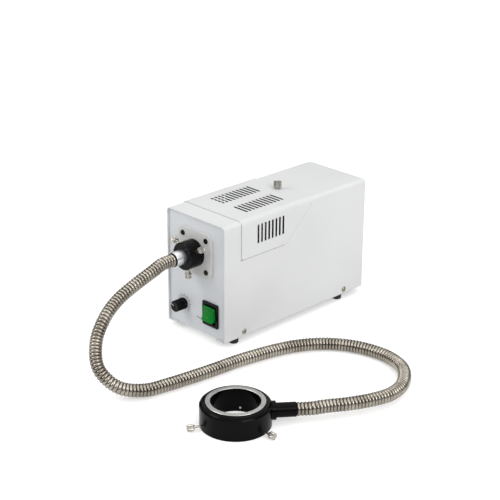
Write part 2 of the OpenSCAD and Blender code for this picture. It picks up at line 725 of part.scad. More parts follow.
module switch_bezel() color("black") at_switch() difference() {
    along_y(panel_y - bezel_t, bezel_t) round_rect(bezel_w, bezel_h, 1.5);
    along_y(panel_y - bezel_t - 1, bezel_t + 2) square([rocker_w + 0.6, rocker_h + 5], center=true);
}

module rocker() color("green") at_switch() translate([0, rocker_pivot_y, 0]) rotate([-rocker_tilt, 0, 0]) {
    along_x(-rocker_w / 2, rocker_w) polygon([[-rocker_front, -rocker_h / 2], [-rocker_front + 1, 0],
        [-rocker_front, rocker_h / 2], [0, rocker_h / 2 - 2.5], [2.5, 3], [2.5, -3], [0, -rocker_h / 2 + 2.5]]);
    rotate([0, 90, 0]) cylinder(d=rocker_pin_d, h=rocker_w + 1, center=true, $fn=32);
}

module switch_body() color("black") at_switch() {
    difference() {
        along_y(panel_y, switch_len) square([switch_body_w, switch_body_h], center=true);
        along_y(panel_y - 1, 10) square([rocker_w + 0.6, rocker_h + 5], center=true);
        translate([0, rocker_pivot_y, 0]) rotate([0, 90, 0])
            cylinder(d=rocker_pin_d + 0.1, h=rocker_w + 1.04, center=true, $fn=32);
    }
    for (x = [-1, 1], z = [-1, 1]) translate([x * 5 - 0.4, panel_y + switch_len - eps, z * 6 - 3])
        cube([0.8, 8, 6]);
}

// ---------- lamp ----------

module lamp_bracket() color("silver") at_house() difference() {
    union() {
        translate([-bracket_w / 2, lamp_y - pan_t, pan_z])
            cube([bracket_w, pan_t, light_z + lamp_d / 2 + 4 - pan_z]);
        translate([-bracket_w / 2, lamp_y - pan_t - bracket_foot, pan_z])
            cube([bracket_w, bracket_foot + eps, pan_t]);
    }
    rod_y(0, light_z, lamp_y - pan_t - 1, pan_t + 2, lamp_d - 5);
    for (x = [-1, 1]) translate([x * bracket_screw_x, lamp_y - pan_t - bracket_foot / 2, pan_z - 1])
        cylinder(d=screw_d + 0.4, h=pan_t + 2, $fn=24);
    translate([10, lamp_y - pan_t - bracket_foot - 1, pan_z + 6])
        cube([bracket_w / 2 - 10 + eps, bracket_foot + pan_t + 2, 40]);
}

module lamp_reflector() color("lightyellow") at_house() translate([0, lamp_y, light_z]) rotate([-90, 0, 0]) {
    r = lamp_d / 2;
    n = 10;
    neck = 7;
    wall = 1.6;
    curve = [for (i = [0:n]) sqrt(1 - pow(i / n, 2))];
    outer = [for (i = [0:n]) [neck + (r - neck) * curve[i], 2 + (lamp_len - 12) * i / n]];
    inner = [for (i = [n:-1:0]) [neck - wall + (r - neck - 0.4) * curve[i], (lamp_len - 11.5) * i / n]];
    rotate_extrude() polygon(concat([[r, 0]], outer, [[neck, lamp_len], [neck - wall, lamp_len]], inner));
}

module lamp_capsule() color("white") at_house() translate([0, lamp_y + 7, light_z]) rotate([-90, 0, 0]) {
    rotate_extrude() polygon([[0, 0], [2.5, 0.8], [4, 3], [4.2, 6], [4.2, 20], [2.5, 23], [2.5, 30], [0, 30]]);
    for (x = [-2.65, 2.65]) translate([x * 0.6, 0, 30 - eps]) cylinder(d=1, h=8, $fn=24);
}

module lamp_socket() color("ivory") at_house() translate([0, lamp_y + lamp_len + 0.1, light_z]) difference() {
    translate([-10, 0, -8]) cube([20, socket_len, 16]);
    for (x = [-2.65, 2.65]) rod_y(x * 0.6, 0, -1, 9, 1.2);
}

// ---------- supply ----------

module transformer_core() color("dimgray") at_house() translate([0, transformer_y, pan_z + 2]) {
    window = (core_w - 22 - 22) / 2;  // the limbs are 11, 22 and 11 wide
    difference() {
        translate([-core_w / 2, 0, 0]) cube([core_w, core_t, core_h]);
        for (s = [-1, 1]) translate([s * (11 + window / 2) - window / 2, -1, 11])
            cube([window, core_t + 2, core_h - 22]);
    }
    for (s = [-1, 1]) difference() {
        translate([s * (core_w / 2 + 4) - 5, core_t / 2 - 8, -2]) cube([10, 16, 2]);
        translate([s * (core_w / 2 + 4), core_t / 2, -3]) cylinder(d=screw_d + 0.4, h=4, $fn=24);
    }
    translate([-core_w / 2, 2, -2]) cube([core_w, core_t - 4, 2 + eps]);
}

module transformer_coil() color("saddlebrown") at_house() translate([0, transformer_y, pan_z + 2]) difference() {
    translate([-coil_w / 2, -coil_out, 11.5]) cube([coil_w, core_t + 2 * coil_out, core_h - 23]);
    translate([-11.3, -0.3, 0]) cube([22.6, core_t + 0.6, core_h]);
}

module transformer_screws() color("silver") at_house() {
    for (x = [-1, 1]) translate([x * (core_w / 2 + 4), transformer_y + core_t / 2, pan_z + 2])
        pan_screw(screw_head_d - 1, screw_head_h, screw_d, 2 + pan_t);
    for (x = [-1, 1]) translate([x * bracket_screw_x, lamp_y - pan_t - bracket_foot / 2, pan_z + pan_t])
        pan_screw(screw_head_d - 1, screw_head_h, screw_d, 2 * pan_t);
}

module fan_frame() color("black") at_house() translate([0, rear_in_y - fan_t, fan_axis_z]) {
    difference() {
        along_y(0, fan_t) round_rect(fan_w, fan_w, 4);
        rod_y(0, 0, -1, fan_t + 2, fan_w - 4);
        for (x = [-1, 1], z = [-1, 1])
            rod_y(x * (fan_w / 2 - 4), z * (fan_w / 2 - 4), -1, fan_t + 2, screw_d + 0.4);
    }
    for (a = [0, 120, 240]) rotate([0, a, 0]) translate([12, fan_t - 4, -2]) cube([fan_w / 2 - 2 - 12 + 0.5, 3, 4]);
    difference() {
        rod_y(0, 0, fan_t - 4, 3, 32);
        rod_y(0, 0, fan_t - 5, 5, 3 + 0.12);
    }
}

module fan_rotor() color("dimgray") at_house() translate([0, rear_in_y - fan_t, fan_axis_z]) {
    rod_y(0, 0, 1.5, 18, 32);
    rod_y(0, 0, 19, 4.5, 3);
    for (i = [0:6]) rotate([0, i * 360 / 7, 0]) translate([15.5, 10.5, 0]) rotate([35, 0, 0])
        translate([0, -9, -0.7]) cube([fan_w / 2 - 3.2 - 15.5, 18, 1.4]);
}

module control_board() color("darkgreen") at_house() difference() {
    translate([-board_w / 2, board_y, pan_z + board_rise]) cube([board_w, board_len, board_t]);
    for (x = [-1, 1], y = [5, board_len - 5])
        translate([x * (board_w / 2 - 5), board_y + y, pan_z + board_rise - 1])
        cylinder(d=2.4, h=board_t + 2, $fn=24);
}

module board_standoffs() color("silver") at_house() for (x = [-1, 1], y = [5, board_len - 5])
    translate([x * (board_w / 2 - 5), board_y + y, 0]) {
        translate([0, 0, pan_z]) cylinder(d=6, h=board_rise, $fn=6);
        translate([0, 0, pan_z - pan_t]) cylinder(d=2.2, h=board_rise + board_t + pan_t + 1, $fn=24);
        translate([0, 0, board_top_z]) cylinder(d=4.5, h=1.6, $fn=24);
    }

module board_parts() color("navy") at_house() translate([0, board_y, board_top_z]) {
    for (x = [-24, -12]) translate([x, 22, 0]) cylinder(d=10, h=18);
    translate([-30, 42, 0]) cube([16, 14, 12]);
    translate([-8, 46, 0]) cube([10, 18, 8]);
    for (i = [0:3]) translate([-2 + i * 4, 14, 0]) cube([2.4, 7, 2.5]);
    translate([8, 4, 0]) cube([20, 7, 10]);
}

module heat_sink() color("silver") at_house() translate([8, board_y + 24, board_top_z]) {
    cube([24, 36, 3]);
    for (i = [0:5]) translate([i * 4.4, 0, 3 - eps]) cube([2, 36, 16]);
}

// ---------- mains inlet ----------

module at_inlet() at_house() translate([0, rear_y + inlet_t, body_z + inlet_z]) children();

// six-sided mouth of the appliance inlet, flat side up
module inlet_mouth() polygon([[-12, -8], [12, -8], [12, 3.5], [7.5, 8], [-7.5, 8], [-12, 3.5]]);

// the three blades, made larger all round by grow
module inlet_blades(grow) for (p = [[-7, 4], [7, 4], [0, 8.5]])
    translate([p[0] - 1 - grow, -inlet_body_len - blade_out, p[1] - 2 - grow])
        cube([2 + 2 * grow, inlet_body_len + blade_out - 6, 4 + 2 * grow]);

module inlet_socket() color("black") at_inlet() difference() {
    union() {
        along_y(-inlet_t, inlet_t) round_rect(inlet_w, inlet_h, 3);
        along_y(-inlet_body_len, inlet_body_len - inlet_t + eps) square([28, inlet_h - 4.4], center=true);
    }
    along_y(-mouth_depth, mouth_depth + 1) translate([0, mouth_z]) inlet_mouth();
    along_y(-mouth_depth - 1, mouth_depth + 2) translate([0, drawer_z]) square([21, 8], center=true);
    inlet_blades(0.05);
    for (x = [-1, 1]) rod_y(x * (inlet_w / 2 - 4), 0, -5, 8, screw_d);
}

module inlet_pins() color("silver") at_inlet() inlet_blades(0);

module fuse_drawer() color("black") at_inlet() translate([0, 0, drawer_z]) difference() {
    along_y(-mouth_depth - 0.6, mouth_depth + 0.6) square([20.4, 7.4], center=true);
    translate([0, -9.5, 0.9]) rotate([0, 90, 0]) cylinder(d=6, h=17, center=true, $fn=40);
    translate([-8.5, -12.5, 0.9]) cube([17, 6, 4]);
    translate([-6, -0.8, -3]) cube([12, 2, 1]);
}

module fuse() color("white") at_inlet() translate([0, -9.5, drawer_z + 0.9]) rotate([0, 90, 0]) {
    cylinder(d=5, h=8, center=true, $fn=32);
    for (s = [-1, 1]) translate([0, 0, s * 6]) cylinder(d=5.2, h=4, center=true, $fn=32);
}

// ---------- wiring ----------

// two mains leads from the inlet to the switch, and two lamp leads to the control board
module wiring() color("firebrick") at_house() for (s = [-1, 1]) {
    wire([[s * 7, blade_tip_y - 0.2, body_z + inlet_z + 4], [s * 7, blade_tip_y - 2.4, body_z + inlet_z + 4],
        [24 + s * 3, blade_tip_y - 3, wire_z + 3 + s * 2], [wall_x + s * 1.5, blade_tip_y - 14, wire_z + s * 2],
        [wall_x + s * 1.5, transformer_y, wire_z + s * 2], [wall_x + s * 1.5, board_y + 24, wire_z + s * 2],
        [wall_x - 4 + s * 3, lamp_y + 12, wire_z + 2 + s * 2],
        [switch_x + s * 5, switch_back_y + 6, body_z + switch_z + 6],
        [switch_x + s * 5, switch_back_y + 0.2, body_z + switch_z + 6]], wire_d);
    wire([[s * 4, socket_end_y + 0.2, light_z], [s * 4, socket_end_y + 4, light_z],
        [s * 5, socket_end_y + 12, light_z - 14], [s * 4.5 - 3, socket_end_y + 13, light_z - 51],
        [s * 2.5 - 3, board_y + 55, board_top_z + 19.5], [s * 2.5 - 3, board_y + 55, board_top_z + 8.2]], wire_d);
}

// ---------- light guide ----------

module ferrule() color("silver") at_house() translate([0, ferrule_y, light_z])
rotate([-90, 0, 0]) rotate_extrude() {
    len = ferrule_in_y - ferrule_y;
    r = ferrule_d / 2;
    b = bundle_d / 2 + 0.2;
    rim = ferrule_collar_d / 2;
    collar = ferrule_out - piece_gap;
    polygon([[b, 0], [rim - 0.4, 0], [rim, 0.4], [rim, collar - 0.4], [rim - 0.4, collar], [r, collar],
        [r, len - 0.8], [r - 0.8, len], [b, len]]);
}

hose_line = fine_route(hose_route, 8);
hose_runs = run_lengths(hose_line);
hose_len = hose_runs[len(hose_runs) - 1];
rib_pitch = hose_len / hose_ribs;
bore_stations = concat([for (q = [0:bore_step:hose_ribs - bore_step]) q * rib_pitch], [hose_len]);

// the ribbed conduit with its bore
module hose() color("darkgray") at_house() {
    crest = hose_d / 2;
    root = crest - hose_groove;
    ribs = concat([for (i = [0:hose_ribs - 1]) each [[i, root], [i + 0.5, crest]]], [[hose_ribs, root]]);
    outer = [for (o = ribs) each ring_at_length(hose_line, hose_runs, o[0] * rib_pitch, o[1], hose_sides)];
    bore = [for (q = bore_stations) each ring_at_length(hose_line, hose_runs, q, hose_bore_d / 2, hose_sides)];
    base = len(outer);
    far = base - hose_sides;
    bore_far = base + len(bore) - hose_sides;
    walls = concat([for (i = [0:len(ribs) - 2]) each band(i, hose_sides)],
        flipped([for (i = [0:len(bore_stations) - 2]) each band(i, hose_sides, base)]));
    ends = [for (k = [0:hose_sides - 1]) let (m = (k + 1) % hose_sides)
        each [[k, base + m, m], [k, base + k, base + m],
            [far + k, far + m, bore_far + m], [far + k, bore_far + m, bore_far + k]]];
    polyhedron(concat(outer, bore), concat(walls, ends));
    echo(hose_length=hose_len, rib_pitch=rib_pitch);
}

// the bundle runs inside the conduit, from the heat filter to the channel of the ring light
module fibre_bundle() color("white") at_house() {
    lead = [[0, ferrule_in_y - 0.3, light_z], route_start];
    first = ring_at_length(lead, [0, ferrule_in_y - ferrule_y], 0, bundle_d / 2, hose_sides);
    inner = [for (q = bore_stations) ring_at_length(hose_line, hose_runs, q, bundle_d / 2, hose_sides)];
    shift = (fibre_ring_d / 2 + 1 - sleeve_end_r) * sleeve_dir;
    tube_through(concat([first], inner, [[for (p = inner[len(inner) - 1]) p + shift]]), hose_sides);
}

// ---------- ring light ----------

module along_sleeve(r, z) at_ring() rotate(sleeve_angle) translate([r, 0, z]) rotate([0, 90, 0]) children();

module ring_sleeve() color("black") along_sleeve(boss_end_r, sleeve_z) difference() {
    len = sleeve_end_r - boss_end_r;
    rotate_extrude() polygon([[hose_bore_d / 2, 0], [sleeve_d / 2, 0], [sleeve_d / 2, len - 1],
        [sleeve_d / 2 - 0.8, len], [hose_bore_d / 2, len]]);
}

module ring_housing() color("black") difference() {
    union() {
        at_ring() rotate_extrude($fn=120) {
            r = ring_d / 2;
            f = ring_face_d / 2;
            polygon([[ring_bore_d / 2, 0], [r - 0.6, 0], [r, 0.6], [r, ring_h - ring_bevel_h],
                [r - 0.8, ring_h - ring_bevel_h + 1.4], [r - 2.6, ring_h - ring_bevel_h + 2.9],
                [f + 0.1, ring_h - 0.3], [f + 0.1, ring_h - ring_face_h], [ring_bore_d / 2, ring_h - ring_face_h]]);
        }
        along_sleeve(ring_d / 2 - 4, sleeve_z) cylinder(d=boss_d, h=boss_end_r - ring_d / 2 + 4);
    }
    at_ring() rotate_extrude($fn=120) translate([(fibre_ring_d - channel_w) / 2, channel_z])
        square([channel_w, ring_h - ring_face_h - channel_z + 1]);
    along_sleeve(fibre_ring_d / 2, sleeve_z) cylinder(d=bundle_d + 0.8, h=boss_end_r);
    for (a = ring_angles) at_ring() rotate(a) translate([ring_bore_d / 2 - 2, 0, ring_screw_z]) rotate([0, 90, 0])
        cylinder(d=ring_screw_d + 2 * thread_gap, h=ring_d / 2, $fn=32);
}

module ring_face() color("silver") at_ring() rotate_extrude($fn=120) {
    gap = fibre_ring_d / 2;
    half = fibre_ring_w / 2;
    low = ring_h - ring_face_h;
    inside = ring_bore_d / 2 + 0.2;
    outside = ring_face_d / 2;
    polygon([[inside, low], [gap - half, low], [gap - half, ring_h], [inside + 0.3, ring_h],
        [inside, ring_h - 0.3]]);
    polygon([[gap + half, low], [outside, low], [outside, ring_h - 0.3], [outside - 0.3, ring_h],
        [gap + half, ring_h]]);
}

module fibre_annulus() color("white") at_ring() rotate_extrude($fn=120) {
    half = fibre_ring_w / 2 - 0.05;
    translate([fibre_ring_d / 2 - half, channel_z]) square([2 * half, ring_h - channel_z - 0.1]);
}

module at_ring_screw(i) at_ring() rotate(ring_angles[i]) translate([0, 0, ring_screw_z])
    rotate([0, 90, 0]) children();

module ring_stud(i) color("silver") at_ring_screw(i)
    translate([0, 0, ring_tip_r]) cylinder(d=ring_screw_d, h=ring_head_r + 1 - ring_tip_r, $fn=32);

module ring_head(i) color("silver") at_ring_screw(i) translate([0, 0, ring_head_r]) difference() {
    knurled_head(ring_head_d, ring_head_len, ring_head_chamfer);
    translate([0, 0, -1]) cylinder(d=ring_screw_d + 0.1, h=2.05, $fn=32);
}

module ring_stud_a() ring_stud(0);
module ring_stud_b() ring_stud(1);
module ring_stud_c() ring_stud(2);
module ring_head_a() ring_head(0);
module ring_head_b() ring_head(1);
module ring_head_c() ring_head(2);

outer_shell();
access_cover();
cover_stud();
cover_head();
cover_bracket();
base_pan();
front_panel();
rear_panel();
port_plate();
port_screws();
guide_barrel();
heat_filter();
port_stud_a();
port_stud_b();
port_stud_c();
port_head_a();
port_head_b();
port_head_c();
knob();
dimmer_shaft();
dimmer_pot();
switch_bezel();
rocker();
switch_body();
shell_screws();
feet();
foot_screws();
lamp_bracket();
lamp_reflector();
lamp_capsule();
lamp_socket();
transformer_core();
transformer_coil();
transformer_screws();
fan_frame();
fan_rotor();
rear_screws();
control_board();
board_parts();
heat_sink();
board_standoffs();
inlet_socket();
inlet_pins();
fuse_drawer();
fuse();
wiring();
ferrule();
hose();
fibre_bundle();
ring_sleeve();
ring_housing();
ring_face();
fibre_annulus();
ring_stud_a();
ring_stud_b();
ring_stud_c();
ring_head_a();
ring_head_b();
ring_head_c();
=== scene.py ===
from math import atan2, cos, pi, radians, sin, sqrt

import bmesh
import bpy
from mathutils import Matrix, Vector


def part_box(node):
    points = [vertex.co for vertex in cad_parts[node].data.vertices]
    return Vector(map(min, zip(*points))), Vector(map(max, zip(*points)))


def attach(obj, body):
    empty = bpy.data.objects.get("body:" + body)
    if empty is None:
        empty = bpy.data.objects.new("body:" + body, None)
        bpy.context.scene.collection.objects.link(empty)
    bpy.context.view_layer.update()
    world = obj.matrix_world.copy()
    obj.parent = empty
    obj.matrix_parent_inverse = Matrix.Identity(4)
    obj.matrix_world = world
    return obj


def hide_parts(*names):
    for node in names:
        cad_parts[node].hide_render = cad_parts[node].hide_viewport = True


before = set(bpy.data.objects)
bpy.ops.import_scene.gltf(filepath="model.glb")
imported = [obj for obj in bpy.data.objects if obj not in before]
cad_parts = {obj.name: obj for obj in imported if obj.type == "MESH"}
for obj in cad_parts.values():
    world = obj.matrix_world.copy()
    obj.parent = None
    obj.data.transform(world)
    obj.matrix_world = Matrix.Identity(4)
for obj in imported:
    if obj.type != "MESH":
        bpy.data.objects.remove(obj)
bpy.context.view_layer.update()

mm = 0.001
lightHeight = 111  # the light port's axis above the table
panelFace = 2.5  # depth of the front panel's face behind the case's front edge
shellLow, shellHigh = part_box("outer_shell")
faceLow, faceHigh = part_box("ring_face")
caseFront = Vector(((shellLow.x + shellHigh.x) / 2, shellLow.y, 0))  # middle of the case's front edge, on the table
ringCentre = Vector(((faceLow.x + faceHigh.x) / 2, (faceLow.y + faceHigh.y) / 2, 0))


def onCase(x, y, z):
    # a point given in millimetres from the middle of the case's front edge
    return caseFront + Vector((x, y, z)) * mm


def onRing(x, y, z):
    return ringCentre + Vector((x, y, z)) * mm


camera = {
    "place": (1096.1, -992.3, 728.4),  # millimetres from the case's front edge
    "azimuth": 45.34,
    "elevation": 22.58,
    "roll": 0.355,
    "lens": 97.5,
    "sensor": 36,
    "clip": (0.05, 50),  # metres
}


def makeCamera(facts):
    data = bpy.data.cameras.new("camera")
    data.lens, data.sensor_width = facts["lens"], facts["sensor"]
    data.clip_start, data.clip_end = facts["clip"]
    made = bpy.data.objects.new("camera", data)
    bpy.context.scene.collection.objects.link(made)
    a, e = radians(facts["azimuth"]), radians(facts["elevation"])
    back = Vector((sin(a) * cos(e), -cos(a) * cos(e), sin(e)))
    turn = Matrix.Rotation(radians(facts["roll"]), 4, back) @ (-back).to_track_quat("-Z", "Y").to_matrix().to_4x4()
    made.matrix_world = Matrix.Translation(onCase(*facts["place"])) @ turn
    bpy.context.scene.camera = made


makeCamera(camera)
print("camera placed")


def keepPiece(name, mesh, body, finishes, smoothAngle=35):
    # links a mesh whose points are already in the row frame, and lets it ride on a body
    for finish in finishes:
        mesh.materials.append(finish)
    for face in mesh.polygons:
        face.use_smooth = True
    mesh.set_sharp_from_angle(angle=radians(smoothAngle))
    piece = bpy.data.objects.new(name, mesh)
    bpy.context.scene.collection.objects.link(piece)
    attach(piece, body)
    return piece


def meshFrom(name, points, faces, slots=None):
    mesh = bpy.data.meshes.new(name)
    mesh.from_pydata(points, [], faces)
    if slots:
        mesh.polygons.foreach_set("material_index", slots)
    work = bmesh.new()
    work.from_mesh(mesh)
    bmesh.ops.recalc_face_normals(work, faces=work.faces)
    work.to_mesh(mesh)
    work.free()
    return mesh


def softened(outline, radius, steps):
    # rounds the corners of an outline; a corner's own third number, if it has one, is its radius
    out = []
    count = len(outline)
    for i, corner in enumerate(outline):
        here = Vector(corner[:2])
        r = corner[2] if len(corner) > 2 else radius
        if r <= 0:
            out.append(here)
            continue
        before = Vector(outline[i - 1][:2]) - here
        after = Vector(outline[(i + 1) % count][:2]) - here
        reach = min(r, before.length * 0.45, after.length * 0.45)
        start, end = here + before.normalized() * reach, here + after.normalized() * reach
        for k in range(steps + 1):
            t = k / steps
            out.append(start * (1 - t) ** 2 + here * 2 * t * (1 - t) + end * t * t)
    return out


def axes(direction):
    along = Vector(direction).normalized()
    side = along.cross(Vector((0, 0, 1)) if abs(along.z) < 0.9 else Vector((0, 1, 0))).normalized()
    return along, side, side.cross(along)


def lathe(name, outline, origin, direction, sides=72, flutes=None):
    # turns a closed outline of (radius, along) in millimetres round an axis
    # flutes(angle, radius) gives back the radius
    along, side, up = axes(direction)
    points, faces = [], []
    for k in range(sides):
        angle = 2 * pi * k / sides
        for spot in outline:
            r = flutes(angle, spot[0]) if flutes else spot[0]
            points.append(Vector(origin) + (along * spot[1] + (side * cos(angle) + up * sin(angle)) * r) * mm)
    rows = len(outline)
    for k in range(sides):
        a, b = k * rows, (k + 1) % sides * rows
        for i in range(rows):
            j = (i + 1) % rows
            if outline[i][0] < 1e-6 and outline[j][0] < 1e-6:
                continue
            faces.append((a + i, a + j, b + j, b + i))
    mesh = meshFrom(name, points, faces)
    work = bmesh.new()
    work.from_mesh(mesh)
    bmesh.ops.remove_doubles(work, verts=work.verts, dist=1e-7)
    bmesh.ops.recalc_face_normals(work, faces=work.faces)
    work.to_mesh(mesh)
    work.free()
    return mesh


def newFinish(name, roughness, metallic=0.0, specular=0.5):
    finish = bpy.data.materials.new(name)
    finish.use_nodes = True
    shader = finish.node_tree.nodes["Principled BSDF"]
    shader.inputs["Roughness"].default_value = roughness
    shader.inputs["Metallic"].default_value = metallic
    shader.inputs["Specular IOR Level"].default_value = specular
    return finish, finish.node_tree.nodes, finish.node_tree.links, shader


def placeVector(nodes, links, origin=(0, 0, 0), stretch=(1, 1, 1)):
    # object coordinates in metres, moved to an origin and stretched
    source = nodes.new("ShaderNodeTexCoord")
    move = nodes.new("ShaderNodeVectorMath")
    move.operation = "SUBTRACT"
    move.inputs[1].default_value = origin
    scale = nodes.new("ShaderNodeVectorMath")
    scale.operation = "MULTIPLY"
    scale.inputs[1].default_value = stretch
    links.new(source.outputs["Object"], move.inputs[0])
    links.new(move.outputs[0], scale.inputs[0])
    return scale.outputs[0]


def noiseOn(nodes, links, vector, scale, detail):
    noise = nodes.new("ShaderNodeTexNoise")
    noise.inputs["Scale"].default_value = scale
    noise.inputs["Detail"].default_value = detail
    links.new(vector, noise.inputs["Vector"])
    return noise.outputs["Fac"]


def tint(nodes, links, shader, factor, dark, light, low=0.35, high=0.65):
    ramp = nodes.new("ShaderNodeValToRGB")
    ramp.color_ramp.elements[0].position = low
    ramp.color_ramp.elements[1].position = high
    ramp.color_ramp.elements[0].color = (*dark, 1)
    ramp.color_ramp.elements[1].color = (*light, 1)
    links.new(factor, ramp.inputs["Fac"])
    links.new(ramp.outputs["Color"], shader.inputs["Base Color"])


def roughnessFrom(nodes, links, shader, factor, low, high):
    spread = nodes.new("ShaderNodeMapRange")
    spread.inputs["To Min"].default_value = low
    spread.inputs["To Max"].default_value = high
    links.new(factor, spread.inputs["Value"])
    links.new(spread.outputs["Result"], shader.inputs["Roughness"])


def bumpFrom(nodes, links, shader, factor, depth, strength):
    bump = nodes.new("ShaderNodeBump")
    bump.inputs["Strength"].default_value = strength
    bump.inputs["Distance"].default_value = depth * mm
    links.new(factor, bump.inputs["Height"])
    links.new(bump.outputs["Normal"], shader.inputs["Normal"])


def powderCoat(name, dark, light, roughness):
    finish, nodes, links, shader = newFinish(name, roughness, specular=0.3)
    place = placeVector(nodes, links)
    tint(nodes, links, shader, noiseOn(nodes, links, place, 9, 2), dark, light)
    bumpFrom(nodes, links, shader, noiseOn(nodes, links, place, 1300, 2), 0.02, 0.25)
    return finish


def mathOn(nodes, links, kind, first, second):
    step = nodes.new("ShaderNodeMath")
    step.operation = kind
    for socket, value in zip(step.inputs, (first, second)):
        if isinstance(value, (int, float)):
            socket.default_value = value
        else:
            links.new(value, socket)
    return step.outputs[0]


def splitOn(nodes, links, vector):
    split = nodes.new("ShaderNodeSeparateXYZ")
    links.new(vector, split.inputs[0])
    return split.outputs


def between(nodes, links, value, start, end):
    after = mathOn(nodes, links, "GREATER_THAN", value, start)
    return mathOn(nodes, links, "MULTIPLY", after, mathOn(nodes, links, "LESS_THAN", value, end))


def mixColour(nodes, links, shader, factor, colour):
    # lays a colour over the finish where the factor is 1
    mix = nodes.new("ShaderNodeMix")
    mix.data_type = "RGBA"
    links.new(factor, mix.inputs[0])
    links.new(shader.inputs["Base Color"].links[0].from_socket, mix.inputs[6])
    mix.inputs[7].default_value = (*colour, 1)
    links.new(mix.outputs[2], shader.inputs["Base Color"])


shadeLimits = {
    "inward": -0.02,  # shaded below this: the normal's x times the x of the place in metres
    "down": -0.9,  # shaded below this: the normal's z
    "upright": 0.5,  # shaded where the normal's z is nearer to 0
    "across": 0.8,  # shaded where the normal's y is farther from 0
}


def shadeInside(finish, depths, colour):
    # painted shade on the inner faces of the folded sheet, between two depths, so that its rims keep their paint
    nodes, links = finish.node_tree.nodes, finish.node_tree.links
    source = nodes.new("ShaderNodeTexCoord")
    normal = splitOn(nodes, links, source.outputs["Normal"])
    place = splitOn(nodes, links, placeVector(nodes, links, onCase(0, 0, 0)))
    deep = between(nodes, links, place[1], depths[0] * mm, depths[1] * mm)
    towards = mathOn(nodes, links, "MULTIPLY", normal[0], place[0])
    facing = mathOn(nodes, links, "LESS_THAN", towards, shadeLimits["inward"])
    under = mathOn(nodes, links, "LESS_THAN", normal[2], shadeLimits["down"])
    inner = mathOn(nodes, links, "MAXIMUM", facing, under)
    mixColour(nodes, links, nodes["Principled BSDF"], mathOn(nodes, links, "MULTIPLY", inner, deep), colour)


def shadeUpright(finish, colour):
    # painted shade on the walls that stand upright
    nodes, links = finish.node_tree.nodes, finish.node_tree.links
    normal = splitOn(nodes, links, nodes.new("ShaderNodeTexCoord").outputs["Normal"])
    rise = mathOn(nodes, links, "ABSOLUTE", normal[2], 0)
    upright = mathOn(nodes, links, "LESS_THAN", rise, shadeLimits["upright"])
    mixColour(nodes, links, nodes["Principled BSDF"], upright, colour)


def shadeSlots(finish, depths, colour):
    # painted shade on the walls of the slots, which face forwards or back
    nodes, links = finish.node_tree.nodes, finish.node_tree.links
    source = nodes.new("ShaderNodeTexCoord")
    normal = splitOn(nodes, links, source.outputs["Normal"])
    place = splitOn(nodes, links, placeVector(nodes, links, onCase(0, 0, 0)))
    forwards = mathOn(nodes, links, "ABSOLUTE", normal[1], 0)
    across = mathOn(nodes, links, "GREATER_THAN", forwards, shadeLimits["across"])
    near = between(nodes, links, place[1], depths[0] * mm, depths[1] * mm)
    mixColour(nodes, links, nodes["Principled BSDF"], mathOn(nodes, links, "MULTIPLY", across, near), colour)


def shadeSeam(finish, facts):
    # a thin line of painted shadow on the case just outside the cover's lower and slanted edges
    nodes, links = finish.node_tree.nodes, finish.node_tree.links
    place = splitOn(nodes, links, placeVector(nodes, links, onCase(0, 0, 0)))
    y, z = place[1], place[2]
    low, high = facts["seam"]
    flatWidth, slantWidth = facts["seamWidth"]
    lap = facts["seamLap"]
    band = between(nodes, links, z, (low[1] - flatWidth) * mm, (low[1] + lap) * mm)
    run = between(nodes, links, y, facts["seamStart"] * mm, low[0] * mm)
    flat = mathOn(nodes, links, "MULTIPLY", band, run)
    lean = (Vector(high) - Vector(low)).normalized()
    level = (low[1] * lean.x - low[0] * lean.y) * mm
    rise = mathOn(nodes, links, "MULTIPLY", z, lean.x)
    back = mathOn(nodes, links, "MULTIPLY", y, lean.y)
    off = mathOn(nodes, links, "SUBTRACT", rise, back)
    band = between(nodes, links, off, level - slantWidth * mm, level + lap * mm)
    run = between(nodes, links, z, low[1] * mm, high[1] * mm)
    slant = mathOn(nodes, links, "MULTIPLY", band, run)
    seam = mathOn(nodes, links, "MAXIMUM", flat, slant)
    mixColour(nodes, links, nodes["Principled BSDF"], seam, facts["seamShade"])


def mouldedPlastic(name, dark, light, roughness, grain=2200, depth=0.02, mirror=0.5):
    finish, nodes, links, shader = newFinish(name, roughness, specular=mirror)
    place = placeVector(nodes, links)
    tint(nodes, links, shader, noiseOn(nodes, links, place, 60, 3), dark, light)
    fine = noiseOn(nodes, links, place, grain, 2)
    roughnessFrom(nodes, links, shader, fine, roughness * 0.85, roughness * 1.2)
    bumpFrom(nodes, links, shader, fine, depth, 0.4)
    return finish


def turnedMetal(name, dark, light, roughness, origin, across, grooves=2600, depth=0.006, metallic=1.0, mirror=0.5):
    # fine tool marks round an axis; across tells which two coordinates lie across that axis
    finish, nodes, links, shader = newFinish(name, roughness, metallic, specular=mirror)
    place = placeVector(nodes, links, origin, across)
    length = nodes.new("ShaderNodeVectorMath")
    length.operation = "LENGTH"
    links.new(place, length.inputs[0])
    marks = nodes.new("ShaderNodeTexNoise")
    marks.noise_dimensions = "1D"
    marks.inputs["Scale"].default_value = grooves
    links.new(length.outputs["Value"], marks.inputs["W"])
    tint(nodes, links, shader, marks.outputs["Fac"], dark, light)
    roughnessFrom(nodes, links, shader, marks.outputs["Fac"], roughness * 0.8, roughness * 1.3)
    bumpFrom(nodes, links, shader, marks.outputs["Fac"], depth, 0.5)
    return finish


def brightMetal(name, dark, light, roughness, scale=140, depth=0.01):
    finish, nodes, links, shader = newFinish(name, roughness, 1.0)
    place = placeVector(nodes, links)
    cloud = noiseOn(nodes, links, place, scale, 4)
    tint(nodes, links, shader, cloud, dark, light)
    roughnessFrom(nodes, links, shader, cloud, roughness * 0.75, roughness * 1.35)
    bumpFrom(nodes, links, shader, noiseOn(nodes, links, place, scale * 12, 2), depth, 0.3)
    return finish


